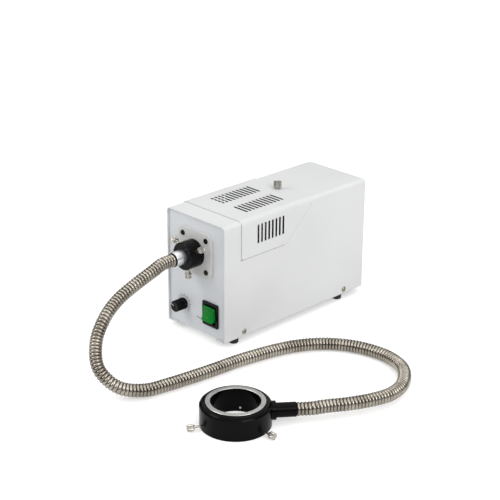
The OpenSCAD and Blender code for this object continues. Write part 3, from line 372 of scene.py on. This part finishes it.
def rolledMetal(name, dark, light, roughness, stretch):
    # streaks along the rolling direction, where stretch is smallest
    finish, nodes, links, shader = newFinish(name, roughness, 1.0)
    place = placeVector(nodes, links, (0, 0, 0), stretch)
    streak = noiseOn(nodes, links, place, 90, 4)
    tint(nodes, links, shader, streak, dark, light)
    roughnessFrom(nodes, links, shader, streak, roughness * 0.8, roughness * 1.3)
    bumpFrom(nodes, links, shader, streak, 0.01, 0.3)
    return finish


def glassFinish(name, colour, roughness, speckle=0.04):
    finish, nodes, links, shader = newFinish(name, roughness)
    place = placeVector(nodes, links)
    bright = tuple(min(1, c + speckle) for c in colour)
    tint(nodes, links, shader, noiseOn(nodes, links, place, 40, 2), colour, bright)
    shader.inputs["Transmission Weight"].default_value = 1.0
    return finish


guide = {
    "outer": 15.5,  # over the ribs
    "bore": 11.0,
    "ribs": 198,
    "groove": 0.95,
    "gap": 0.13,  # share of a pitch on either side of the crest that the groove takes
    "flat": 0.6,  # share of the groove with a flat floor
    "crestSteps": 9,
    "crestCurve": 0.93,  # 1 makes the crest a full arch
    "sides": 44,
    "boreSteps": 60,
    "start": (0, -35.5, lightHeight),
    "sleeveAngle": 51.7,
    "sleeveEnd": 65.7,
    "sleeveHeight": 14,
    "route": [
        (2, -67, 107.5), (3, -94, 99.5), (4, -122, 89), (10.2, -147, 76), (19, -167, 56),
        (36.3, -178.1, 34), (58.5, -169.3, 16.5), (73.3, -143.9, 9), (80, -113, 8), (85, -84, 8), (89, -54, 8),
        (92, -24, 8), (97, 5, 8), (104, 34, 8), (115, 62, 8), (133, 87, 8), (157, 104, 8),
        (185, 113, 8), (213.1, 113.3, 8), (240.4, 101, 8.5), (262.5, 73, 9.5), (270.4, 44.2, 11),
        (266.8, 17.9, 12.5), (256.6, -8.6, 13.5), (243.8, -30.7, 14),
    ],
}


def curvePoint(p0, p1, p2, p3, t):
    return 0.5 * (2 * p1 + (p2 - p0) * t + (2 * p0 - 5 * p1 + 4 * p2 - p3) * t * t
                  + (3 * p1 - p0 - 3 * p2 + p3) * t ** 3)


def guideLine(facts, steps=8):
    # the conduit's centreline, with a straight run of one diameter at each end
    a = radians(facts["sleeveAngle"])
    away = Vector((cos(a), sin(a), 0))
    end = ringCentre + (away * facts["sleeveEnd"] + Vector((0, 0, facts["sleeveHeight"]))) * mm
    start = onCase(*facts["start"])
    marks = [start, start - Vector((0, facts["outer"], 0)) * mm]
    marks += [onCase(*p) for p in facts["route"]]
    marks += [end + away * facts["outer"] * mm, end]
    line = [marks[0]]
    for i in range(1, len(marks) - 2):
        line += [curvePoint(*marks[i - 1:i + 3], j / steps) for j in range(steps)]
    return line + marks[-2:]


def runLengths(line):
    runs = [0.0]
    for a, b in zip(line, line[1:]):
        runs.append(runs[-1] + (b - a).length)
    return runs


def pointAt(line, runs, q):
    q = min(max(q, 0), runs[-1])
    i = next(k for k in range(len(line) - 1) if q <= runs[k + 1] + 1e-9)
    return line[i].lerp(line[i + 1], (q - runs[i]) / (runs[i + 1] - runs[i]))


def tubeRing(line, runs, q, radius, sides):
    ahead, behind = pointAt(line, runs, q + mm), pointAt(line, runs, q - mm)
    forward = (ahead - behind).normalized()
    side = forward.cross(Vector((0, 0, 1))).normalized()
    top = side.cross(forward)
    centre = pointAt(line, runs, q)
    return [centre + (side * cos(w) + top * sin(w)) * radius * mm
            for w in (2 * pi * (k + 0.5) / sides for k in range(sides))]


def ribOutline(facts):
    # one rib: (share of the pitch, radius, slot), a narrow groove whose slot carries painted shade, and then a
    # round crest
    root, gap, flat = facts["outer"] / 2 - facts["groove"], facts["gap"], facts["flat"]
    spots = [(0.0, root, 1), (gap * flat, root, 0)]
    for k in range(facts["crestSteps"]):
        u = -1 + 2 * (k + 0.6) / (facts["crestSteps"] + 0.2)
        height = facts["groove"] * sqrt(1 - u * u * facts["crestCurve"])
        spots.append((gap + (1 - 2 * gap) * (u + 1) / 2, root + height, 0))
    spots.append((1 - gap * flat, root, 1))
    return spots


def makeConduit(facts, crest, groove):
    line = guideLine(facts)
    runs = runLengths(line)
    pitch = runs[-1] / facts["ribs"]
    sides = facts["sides"]
    stations = []
    for i in range(facts["ribs"]):
        stations += [((i + share) * pitch, radius, slot) for share, radius, slot in ribOutline(facts)]
    stations.append((runs[-1], stations[0][1], 1))
    points, faces, slots = [], [], []
    for q, radius, slot in stations:
        points += tubeRing(line, runs, q, radius, sides)
    for i in range(len(stations) - 1):
        for k in range(sides):
            m = (k + 1) % sides
            faces.append((i * sides + k, i * sides + m, (i + 1) * sides + m, (i + 1) * sides + k))
            slots.append(stations[i][2])
    boreAt = [runs[-1] * i / facts["boreSteps"] for i in range(facts["boreSteps"] + 1)]
    first = len(points)
    for q in boreAt:
        points += tubeRing(line, runs, q, facts["bore"] / 2, sides)
    for i in range(len(boreAt) - 1):
        for k in range(sides):
            m = (k + 1) % sides
            a = first + i * sides
            faces.append((a + k, a + sides + k, a + sides + m, a + m))
            slots.append(1)
    lastOuter, lastBore = (len(stations) - 1) * sides, first + (len(boreAt) - 1) * sides
    for k in range(sides):
        m = (k + 1) % sides
        faces.append((k, first + k, first + m, m))
        faces.append((lastOuter + k, lastOuter + m, lastBore + m, lastBore + k))
        slots += [1, 1]
    # slot 1 is painted shade: the groove floors, the bore and the two ends
    mesh = meshFrom("conduit", points, faces, slots)
    piece = keepPiece("conduit", mesh, "light_guide", [crest, groove], 50)
    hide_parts("hose")


conduitCrest = brightMetal("conduit_steel", (0.235, 0.21, 0.175), (0.40, 0.37, 0.32), 0.27, 60)
# painted shade in the conduit's grooves, bore and ends; the same finish is the collar's dark steel
grooveShadeAndDarkSteel = brightMetal("conduit_groove_shade_and_dark_steel", (0.012, 0.011, 0.010), (0.03, 0.027, 0.023), 0.5, 200)
makeConduit(guide, conduitCrest, grooveShadeAndDarkSteel)
print("conduit made")

casePaint = {
    "dark": (0.70, 0.705, 0.705),
    "light": (0.735, 0.74, 0.74),
    "roughness": 0.42,
    "edge": 0.35,
    "slots": (48, 122),  # depths between which the cover's slots lie
    "rims": (6, 241),  # depths between which the sheet's inner faces are shaded
    "seam": ((101, 108), (144, 148)),  # the two corners of the cover's lower edge, depth and height
    "seamWidth": (1.4, 2.4),  # along the level edge and along the slanted one
    "seamStart": 26,  # depth at which the level edge starts
    "seamLap": 0.3,  # how far the shade reaches under the cover
    "seamShade": (0.34, 0.34, 0.34),
    # painted shade on the slot walls
    "slotWallShade": (0.02, 0.02, 0.021),
    # painted shade on the shell's inner faces
    "inside": (0.10, 0.10, 0.10),
    # the cover's inner faces: bare metal, darkened with painted shade
    "coverInsideBareAndShade": (0.34, 0.34, 0.34),
}


def dress(node, *finishes):
    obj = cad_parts[node]
    obj.data.materials.clear()
    for finish in finishes:
        obj.data.materials.append(finish)


def roundEdges(node, width, angle=40, segments=2):
    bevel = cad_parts[node].modifiers.new("edge", "BEVEL")
    bevel.width = width * mm
    bevel.segments = segments
    bevel.limit_method = "ANGLE"
    bevel.angle_limit = radians(angle)


caseCoat = powderCoat("case_coat", casePaint["dark"], casePaint["light"], casePaint["roughness"])
shellCoat = caseCoat.copy()
shellCoat.name = "shell_coat"
shadeInside(shellCoat, casePaint["rims"], casePaint["inside"])
shadeSeam(shellCoat, casePaint)
shadeInside(caseCoat, casePaint["rims"], casePaint["coverInsideBareAndShade"])
shadeSlots(caseCoat, casePaint["slots"], casePaint["slotWallShade"])
panelCoat = powderCoat("panel_coat", (0.68, 0.70, 0.725), (0.72, 0.74, 0.765), 0.4)
dress("outer_shell", shellCoat)
dress("access_cover", caseCoat)
for node in ("front_panel", "rear_panel"):
    dress(node, panelCoat)
zincPlate = rolledMetal("zinc_plate", (0.42, 0.43, 0.42), (0.62, 0.62, 0.6), 0.35, (1, 0.08, 1))
for node in ("base_pan", "cover_bracket", "lamp_bracket"):
    dress(node, zincPlate)
roundEdges("outer_shell", casePaint["edge"])
roundEdges("access_cover", casePaint["edge"])
roundEdges("front_panel", 0.3)
rubberFoot = mouldedPlastic("rubber_foot", (0.008, 0.008, 0.009), (0.02, 0.02, 0.02), 0.75, 1500, 0.05)
dress("feet", rubberFoot)
blackOxide = brightMetal("black_oxide", (0.012, 0.012, 0.013), (0.03, 0.03, 0.03), 0.32, 300)
screwNickel = brightMetal("screw_nickel", (0.26, 0.24, 0.19), (0.40, 0.375, 0.32), 0.28, 300)
dress("port_screws", blackOxide)
dress("shell_screws", screwNickel)
for node in ("foot_screws", "rear_screws", "transformer_screws"):
    dress(node, screwNickel)
print("case dressed")

portMetal = powderCoat("port_plate_coat", (0.60, 0.60, 0.59), (0.66, 0.66, 0.65), 0.38)
dress("port_plate", portMetal)
roundEdges("port_plate", 0.6)
lightAxis = onCase(0, 0, lightHeight)
barrelBlack = turnedMetal("barrel_black", (0.002, 0.002, 0.002), (0.005, 0.005, 0.005), 0.2,
                          lightAxis, (1, 0, 1), 1800, 0.003, metallic=0.0, mirror=0.08)
dress("guide_barrel", barrelBlack)
nickel = brightMetal("nickel", (0.30, 0.285, 0.255), (0.50, 0.48, 0.44), 0.22, 260)
for node in ["cover_stud"] + [place + "_stud_" + letter for place in ("port", "ring") for letter in "abc"]:
    dress(node, nickel)

thumbHead = {
    "flutes": 36,
    "fluteDepth": 0.22,
    "neck": 0.2,  # share of the length
    "neckWidth": 0.66,  # share of the radius
    "dish": 0.5,
    "edge": 0.35,
    "cover": {"at": (0, 138, 156.5), "size": (5, 9)},  # size is radius and length
    "port": {"depth": -12, "reach": 21.5, "size": (4, 8), "angles": (150, 30, 270)},
    "ring": {"height": 4.4, "reach": 46, "size": (3.9, 8), "angles": (5.4, 125.4, -114.6)},
}


def makeThumbHead(facts, node, origin, direction, size, body, finish):
    radius, length = size
    neck, narrow = length * facts["neck"], radius * facts["neckWidth"]
    outline = [(0, 0.02, 0), (narrow, 0.02), (narrow, neck), (radius, neck + 0.3), (radius, length),
               (radius * 0.78, length), (radius * 0.7, length - facts["dish"]), (0, length - facts["dish"], 0)]

    def flute(angle, r):
        grip = min(1, max(0, (r - radius * 0.85) / (radius * 0.12)))
        return r - grip * facts["fluteDepth"] * (0.5 + 0.5 * cos(facts["flutes"] * angle))

    name, outline = node + "_knurled", softened(outline, facts["edge"], 3)
    mesh = lathe(name, outline, origin, direction, facts["flutes"] * 4, flute)
    piece = keepPiece(name, mesh, body, [finish], 50)
    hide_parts(node)


def makeThumbHeads(facts, finish):
    port, cover, ring = facts["port"], facts["cover"], facts["ring"]
    for letter, angle in zip("abc", port["angles"]):
        away = Vector((cos(radians(angle)), 0, sin(radians(angle))))
        origin = onCase(0, port["depth"], lightHeight) + away * port["reach"] * mm
        makeThumbHead(facts, "port_head_" + letter, origin, away, port["size"], "port_screw_head_" + letter, finish)
    makeThumbHead(facts, "cover_head", onCase(*cover["at"]), (0, 0, 1), cover["size"], "cover_screw_head", finish)
    for letter, angle in zip("abc", ring["angles"]):
        away = Vector((cos(radians(angle)), sin(radians(angle)), 0))
        origin = onRing(0, 0, ring["height"]) + away * ring["reach"] * mm
        makeThumbHead(facts, "ring_head_" + letter, origin, away, ring["size"], "ring_screw_head_" + letter, finish)


makeThumbHeads(thumbHead, nickel)

ferruleChrome = turnedMetal("ferrule_bright", (0.72, 0.73, 0.75), (0.82, 0.83, 0.85), 0.32, lightAxis, (1, 0, 1))

endFitting = {
    "radius": 8.0,
    "wide": (9.2, 14.7),  # radius and length of the part in front of the barrel
    "bore": 4.7,
    "length": 49,
    "collar": (8.6, 1.0),  # radius and length of the dark ring that holds the conduit
    "collarBore": 7.4,
}


def makeEndFitting(facts):
    r = facts["radius"]
    w, step = facts["wide"]
    outline = [(facts["bore"], 0), (w, 0), (w, step), (r, step, 0),
               (r, facts["length"]), (facts["bore"], facts["length"])]
    start = onCase(*guide["start"])
    mesh = lathe("end_fitting", softened(outline, 0.3, 3), start, (0, 1, 0), 96)
    piece = keepPiece("end_fitting", mesh, "light_guide", [ferruleChrome])
    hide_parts("ferrule")
    wide, long = facts["collar"]
    bore = facts["collarBore"]
    ring = [(bore, -long), (wide, -long), (wide, 0), (bore, 0)]
    mesh = lathe("guide_collar", softened(ring, 0.4, 3), start, (0, 1, 0), 72)
    collar = keepPiece("guide_collar", mesh, "light_guide", [grooveShadeAndDarkSteel])


makeEndFitting(endFitting)
dress("heat_filter", glassFinish("filter_glass", (0.7, 0.85, 0.95), 0.05))
print("port dressed")

blackPlastic = mouldedPlastic("black_plastic", (0.002, 0.002, 0.002), (0.006, 0.006, 0.006), 0.18, mirror=0.09)
dress("switch_bezel", blackPlastic)
printWhite = mouldedPlastic("print_white", (0.72, 0.72, 0.70), (0.82, 0.82, 0.80), 0.45)
printBlack = mouldedPlastic("print_black", (0.004, 0.004, 0.005), (0.012, 0.012, 0.012), 0.5, mirror=0.2)

knob = {
    "x": -23.5,
    "z": 36.5,
    "radius": 7.3,
    "front": -13.8,
    "back": 1.5,
    "skirt": 7.3,
    "flutes": 30,
    "fluteDepth": 0.4,
    "pointer": 158.2,  # direction of the pointer from +X, seen from the front
    "pointerWidth": 0.9,
    "pointerDepth": 0.3,
    "shaftBore": (3.1, 4),  # radius, and the bore's bottom behind the front
}


def makeKnob(facts):
    origin = onCase(facts["x"], facts["front"], facts["z"])
    long, r = facts["back"] - facts["front"], facts["radius"]
    bore, bottom = facts["shaftBore"]
    # radius, depth behind the front, and for some corners their own radius
    outline = [(0, 0.45, 0), (r * 0.6, 0.45), (r * 0.66, 0.05), (r - 0.5, 0.0), (r - 0.25, 1.2),
               (r - 0.2, long - 2.4, 0), (facts["skirt"], long - 2.2), (facts["skirt"], long),
               (bore, long), (bore, bottom, 0), (0, bottom, 0)]

    def flute(angle, radius):
        grip = min(1, max(0, (radius - r * 0.82) / (r * 0.08)))
        wave = 0.5 + 0.5 * cos(facts["flutes"] * angle)
        return radius - grip * facts["fluteDepth"] * wave ** 2

    mesh = lathe("brightness_knob", softened(outline, 0.4, 4), origin, (0, 1, 0), facts["flutes"] * 6, flute)
    grip = keepPiece("brightness_knob", mesh, "brightness_knob", [blackPlastic], 45)
    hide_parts("knob")
    a = radians(facts["pointer"])
    away, across = Vector((cos(a), 0, sin(a))), Vector((-sin(a), 0, cos(a)))
    inward = Vector((0, 1, 0))
    # the pointer's line: distance from the axis and depth, over the face and down the side
    path = [(r * 0.3, 0.40), (r * 0.62, 0.40), (r * 0.68, -0.02),
            (r - 0.45, -0.04), (r - 0.12, 0.9), (r - 0.12, 4.5)]
    points, faces = [], []
    for sink in (0, facts["pointerDepth"]):
        for reach, depth in path:
            for side in (-0.5, 0.5):
                spot = away * max(reach - sink, 0) + across * side * facts["pointerWidth"] + inward * (depth + sink)
                points.append(origin + spot * mm)
    n = len(path)
    for i in range(n - 1):
        a0, b0 = 2 * i, 2 * i + 2
        faces += [(a0, a0 + 1, b0 + 1, b0), (2 * n + a0, 2 * n + b0, 2 * n + b0 + 1, 2 * n + a0 + 1),
                  (a0, b0, 2 * n + b0, 2 * n + a0), (a0 + 1, 2 * n + a0 + 1, 2 * n + b0 + 1, b0 + 1)]
    faces += [(0, 2 * n, 2 * n + 1, 1), (2 * n - 2, 2 * n - 1, 4 * n - 1, 4 * n - 2)]
    pointer = keepPiece("knob_pointer", meshFrom("knob_pointer", points, faces), "brightness_knob", [printWhite])


makeKnob(knob)

dial = {
    "arc": (9.0, 0.22),  # radius and line width
    "arcPieces": 56,
    "ticks": 21,
    "short": (9.4, 11.2),
    "long": (9.4, 12.4),
    "width": 0.6,
    "shortWidth": 0.7,  # share of the width
    "sweep": (-140, 140),  # degrees from the top
    "proud": 0.03,
    "sunk": 0.01,
}


def flatPatch(corners, y0, y1):
    # a thin plate on the front panel from corners in X and Z
    n = len(corners)
    points = [onCase(x, y0, z) for x, z in corners] + [onCase(x, y1, z) for x, z in corners]
    faces = [tuple(range(n)), tuple(range(2 * n - 1, n - 1, -1))]
    faces += [(i, (i + 1) % n, n + (i + 1) % n, n + i) for i in range(n)]
    return points, faces


def makeDial(facts):
    points, faces = [], []
    y0, y1 = panelFace - facts["proud"], panelFace + facts["sunk"]

    def add(corners):
        more, sides = flatPatch([(knob["x"] + x, knob["z"] + z) for x, z in corners], y0, y1)
        faces.extend(tuple(i + len(points) for i in face) for face in sides)
        points.extend(more)

    low, high = facts["sweep"]
    for i in range(facts["ticks"]):
        a = radians(low + (high - low) * i / (facts["ticks"] - 1))
        isLong = i % 2 == 0
        r0, r1 = facts["long"] if isLong else facts["short"]
        half = facts["width"] / 2 * (1 if isLong else facts["shortWidth"])
        ends = ((r0, -half), (r0, half), (r1, half), (r1, -half))
        add([(r * sin(a) + w * cos(a), r * cos(a) - w * sin(a)) for r, w in ends])
    radius, line = facts["arc"]
    for i in range(facts["arcPieces"]):
        a, b = (radians(low + (high - low) * (i + k) / facts["arcPieces"]) for k in (0, 1))
        ends = ((radius, a), (radius, b), (radius + line, b), (radius + line, a))
        add([(r * sin(t), r * cos(t)) for r, t in ends])
    piece = keepPiece("dial_scale", meshFrom("dial_scale", points, faces), "case", [printBlack])


makeDial(dial)

lettering = {
    "words": "ON/OFF",
    "x": 4.2,
    "z": 25.6,
    "height": 2.5,
    "fontScale": 1.4,  # font size for letters one unit high
    "depth": 0.03,
}


def makeLettering(name, words, x, z, height, body, finish, face=panelFace, depth=lettering["depth"], turn=None):
    # small printed words, their middle at x and z, reading from the front
    data = bpy.data.curves.new(name, "FONT")
    data.body, data.size, data.extrude = words, height * mm * lettering["fontScale"], depth * mm
    data.align_x, data.align_y = "CENTER", "CENTER"
    text = bpy.data.objects.new(name + "_text", data)
    bpy.context.scene.collection.objects.link(text)
    mesh = bpy.data.meshes.new_from_object(text.evaluated_get(bpy.context.evaluated_depsgraph_get()))
    bpy.data.objects.remove(text)
    mesh.transform(Matrix.Rotation(pi / 2, 4, "X"))
    if turn:
        mesh.transform(turn)
    mesh.transform(Matrix.Translation(onCase(x, face, z)))
    mesh.materials.clear()
    mesh.name = name
    piece = keepPiece(name, mesh, body, [finish])
    return piece


makeLettering("switch_words", lettering["words"], lettering["x"], lettering["z"], lettering["height"],
              "case", printBlack)
greenPlastic = mouldedPlastic("green_plastic", (0.0, 0.17, 0.016), (0.003, 0.24, 0.024), 0.25, mirror=0.1)
markPale = mouldedPlastic("mark_pale", (0.10, 0.36, 0.14), (0.14, 0.44, 0.18), 0.4)

rocker = {
    "x": 24,
    "z": 37,
    "pivot": 5,  # depth of the pivot behind the case's front edge
    "width": 17.8,
    "tilt": 11,
    "ends": (-9.0, 9.5),  # depth and height of the key's ends
    "middle": -8.0,  # depth of its middle
    "behind": [(0, 7, 1.5), (2.5, 3, 1), (2.5, -3, 1), (0, -7, 1.5)],
    "edge": 0.5,
    "markAt": 4.8,  # above and below the middle
    "markHeight": 3.2,
    "markDepth": 0.05,
    "markLift": 0.02,
}


def makeRocker(facts):
    endDepth, endHeight = facts["ends"]
    front = [(endDepth, -endHeight, 0.8), (facts["middle"], 0, 3.5), (endDepth, endHeight, 0.8)]
    outline = softened(front + facts["behind"], 0.6, 5)
    middle = sum(outline, Vector((0, 0))) / len(outline)
    half, e = facts["width"] / 2, facts["edge"]
    layers = [(-half, 1), (-half + e * 0.3, 0.35), (-half + e, 0), (half - e, 0), (half - e * 0.3, 0.35), (half, 1)]
    tilt = Matrix.Rotation(-radians(facts["tilt"]), 3, "X")
    origin = onCase(facts["x"], facts["pivot"], facts["z"])
    points, faces = [], []
    for x, shrink in layers:
        for spot in outline:
            inset = spot + (middle - spot).normalized() * shrink * e
            points.append(origin + tilt @ Vector((x, inset.x, inset.y)) * mm)
    n = len(outline)
    for i in range(len(layers) - 1):
        for k in range(n):
            m = (k + 1) % n
            faces.append((i * n + k, i * n + m, (i + 1) * n + m, (i + 1) * n + k))
    faces += [tuple(range(n)), tuple(range(len(points) - 1, len(points) - n - 1, -1))]
    piece = keepPiece("rocker_key", meshFrom("rocker_key", points, faces), "power_rocker", [greenPlastic], 40)
    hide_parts("rocker")
    # the marks lie on the two slopes of the key
    rise = facts["middle"] - endDepth
    lean, at = atan2(rise, endHeight), facts["markAt"]
    depth = facts["middle"] - at * rise / endHeight
    for name, mark, side in (("rocker_mark_on", "I", 1), ("rocker_mark_off", "O", -1)):
        place = Matrix.Translation(Vector((0, depth - facts["markLift"], side * at)) * mm)
        turn = tilt.to_4x4() @ place @ Matrix.Rotation(-side * lean, 4, "X")
        words = makeLettering(name, mark, facts["x"], facts["z"], facts["markHeight"], "power_rocker", markPale,
                              facts["pivot"], facts["markDepth"], turn)


makeRocker(rocker)
dress("dimmer_shaft", screwNickel)

ringBlack = turnedMetal("ring_black", (0.0015, 0.0015, 0.0015), (0.004, 0.004, 0.004), 0.14,
                        ringCentre, (1, 1, 0), 1500, 0.002, metallic=0.0, mirror=0.06)
dress("ring_housing", ringBlack)
roundEdges("ring_housing", 0.3, 20, 3)
sleeveBlack = mouldedPlastic("sleeve_black", (0.0015, 0.0015, 0.0015), (0.004, 0.004, 0.004), 0.2, mirror=0.06)
dress("ring_sleeve", sleeveBlack)
faceWallShade = (0.012, 0.012, 0.012)  # painted shade on the face's upright walls, so the bright face ends at its edges
faceMetal = turnedMetal("face_metal", (0.42, 0.41, 0.395), (0.59, 0.58, 0.565), 0.3, ringCentre, (1, 1, 0), 2400)
shadeUpright(faceMetal, faceWallShade)
dress("ring_face", faceMetal)
fibreEnds = mouldedPlastic("fibre_ends", (0.25, 0.25, 0.26), (0.55, 0.55, 0.55), 0.25, 2600, 0.05)
dress("fibre_annulus", fibreEnds)
dress("fibre_bundle", fibreEnds)
print("ring light dressed")

darkPlastic = mouldedPlastic("dark_plastic", (0.01, 0.01, 0.01), (0.03, 0.03, 0.03), 0.5)
for node in ("dimmer_pot", "switch_body", "fan_frame", "fan_rotor", "inlet_socket", "fuse_drawer"):
    dress(node, darkPlastic)
dress("lamp_reflector", brightMetal("mirror_coat", (0.12, 0.115, 0.1), (0.2, 0.19, 0.17), 0.25, 60))
dress("lamp_capsule", glassFinish("quartz", (0.9, 0.9, 0.9), 0.03))
dress("fuse", glassFinish("fuse_glass", (0.85, 0.87, 0.85), 0.05))
dress("lamp_socket", mouldedPlastic("ceramic", (0.62, 0.6, 0.54), (0.74, 0.72, 0.66), 0.6))
dress("transformer_core", rolledMetal("laminations", (0.05, 0.05, 0.05), (0.14, 0.13, 0.12), 0.5, (0.05, 8, 0.05)))
dress("transformer_coil", mouldedPlastic("coil_tape", (0.5, 0.36, 0.05), (0.62, 0.46, 0.1), 0.35, 300, 0.2))
dress("control_board", mouldedPlastic("board_green", (0.005, 0.08, 0.03), (0.01, 0.15, 0.06), 0.35, 500))
dress("board_parts", mouldedPlastic("parts_dark", (0.01, 0.012, 0.03), (0.04, 0.05, 0.1), 0.4))
dress("heat_sink", rolledMetal("fin_metal", (0.4, 0.4, 0.41), (0.55, 0.55, 0.56), 0.4, (8, 0.1, 8)))
dress("board_standoffs", brightMetal("standoff_brass", (0.5, 0.38, 0.15), (0.66, 0.52, 0.25), 0.3))
dress("inlet_pins", brightMetal("pin_brass", (0.5, 0.38, 0.15), (0.66, 0.52, 0.25), 0.25))
dress("wiring", mouldedPlastic("wire_sheath", (0.3, 0.01, 0.01), (0.4, 0.03, 0.02), 0.4))
print("inside dressed")

studio = {
    "floor": 0.80,
    "floorReach": 6,  # metres
    "floorGlow": (0.42, 1.0),  # as seen or mirrored, near the object and far from it
    "glowReach": (0.5, 2.2),  # metres
    "glowCentre": (100, 0, 0),
    "worldLight": 0.54,  # strength where it lights the object; it's 1 where it is seen or mirrored
    "aim": (40, 20, 60),
    "lamps": [
        # name, place in metres from the case's front edge, size, power
        ("key", (-0.9, -1.5, 1.6), 1.2, 15),
        ("side", (1.7, -0.2, 1.2), 1.2, 18),
        ("top", (0.1, 0.2, 2.0), 1.6, 9),
    ],
    "glints": [
        # small lamps that show only where they are mirrored: name, place, size, power
        ("glintLeft", (-0.5, -1.9, 1.1), 0.22, 2.2),
        ("glintRight", (1.9, -1.2, 1.5), 0.22, 2.2),
    ],
    "glintSize": 0.5,  # lamps smaller than this are glints
    # a dark band that shows only where it is mirrored
    "card": {"radius": 2.6, "low": 0.05, "high": 1.15, "sides": 48, "shade": 0.004},
}


def seenDirectly(nodes, links):
    # 1 for camera, glossy and transmission rays
    path = nodes.new("ShaderNodeLightPath")
    total = path.outputs["Is Camera Ray"]
    for name in ("Is Glossy Ray", "Is Transmission Ray"):
        total = mathOn(nodes, links, "MAXIMUM", total, path.outputs[name])
    return total


def makeFloor(facts):
    finish = bpy.data.materials.new("floor_white")
    finish.use_nodes = True
    nodes, links = finish.node_tree.nodes, finish.node_tree.links
    nodes.clear()
    diffuse = nodes.new("ShaderNodeBsdfDiffuse")
    diffuse.inputs["Color"].default_value = (facts["floor"],) * 3 + (1,)
    glow = nodes.new("ShaderNodeEmission")
    far = nodes.new("ShaderNodeVectorMath")
    far.operation = "LENGTH"
    links.new(placeVector(nodes, links, onCase(*facts["glowCentre"])), far.inputs[0])
    level = nodes.new("ShaderNodeMapRange")
    level.inputs["From Min"].default_value, level.inputs["From Max"].default_value = facts["glowReach"]
    level.inputs["To Min"].default_value, level.inputs["To Max"].default_value = facts["floorGlow"]
    links.new(far.outputs["Value"], level.inputs["Value"])
    strength = mathOn(nodes, links, "MULTIPLY", seenDirectly(nodes, links), level.outputs["Result"])
    links.new(strength, glow.inputs["Strength"])
    add = nodes.new("ShaderNodeAddShader")
    out = nodes.new("ShaderNodeOutputMaterial")
    links.new(diffuse.outputs[0], add.inputs[0])
    links.new(glow.outputs[0], add.inputs[1])
    links.new(add.outputs[0], out.inputs["Surface"])
    mesh = bpy.data.meshes.new("floor")
    reach = facts["floorReach"]
    corners = [(-reach, -reach, 0), (reach, -reach, 0), (reach, reach, 0), (-reach, reach, 0)]
    mesh.from_pydata(corners, [], [(0, 1, 2, 3)])
    mesh.materials.append(finish)
    floor = bpy.data.objects.new("floor", mesh)
    bpy.context.scene.collection.objects.link(floor)


def makeWorld(facts):
    world = bpy.data.worlds.new("studio")
    world.use_nodes = True
    nodes, links = world.node_tree.nodes, world.node_tree.links
    background = nodes["Background"]
    background.inputs["Color"].default_value = (1, 1, 1, 1)
    level = nodes.new("ShaderNodeMapRange")
    level.inputs["To Min"].default_value = facts["worldLight"]
    level.inputs["To Max"].default_value = 1.0
    links.new(seenDirectly(nodes, links), level.inputs["Value"])
    links.new(level.outputs["Result"], background.inputs["Strength"])
    bpy.context.scene.world = world


def makeLamps(facts):
    target = onCase(*facts["aim"])
    for name, place, size, power in facts["lamps"] + facts["glints"]:
        data = bpy.data.lights.new(name, "AREA")
        data.size, data.energy = size, power
        lamp = bpy.data.objects.new(name, data)
        lamp.location = caseFront + Vector(place)
        lamp.rotation_mode = "QUATERNION"
        lamp.rotation_quaternion = (target - lamp.location).to_track_quat("-Z", "Y")
        bpy.context.scene.collection.objects.link(lamp)
        lamp.visible_diffuse = size > facts["glintSize"]


def makeCard(facts):
    count, radius = facts["sides"], facts["radius"]
    turns = [2 * pi * k / count for k in range(count)]
    points = [(radius * cos(a), radius * sin(a), z) for z in (facts["low"], facts["high"]) for a in turns]
    faces = [(k, (k + 1) % count, count + (k + 1) % count, count + k) for k in range(count)]
    mesh = bpy.data.meshes.new("dark_card")
    mesh.from_pydata(points, [], faces)
    finish = newFinish("card_black", 1.0, specular=0.0)[0]
    finish.node_tree.nodes["Principled BSDF"].inputs["Base Color"].default_value = (facts["shade"],) * 3 + (1,)
    mesh.materials.append(finish)
    card = bpy.data.objects.new("dark_card", mesh)
    bpy.context.scene.collection.objects.link(card)
    card.visible_camera = card.visible_diffuse = card.visible_shadow = card.visible_transmission = False


makeFloor(studio)
makeCard(studio["card"])
makeWorld(studio)
makeLamps(studio)
bpy.context.scene.view_settings.view_transform = "Standard"
print("studio lit")
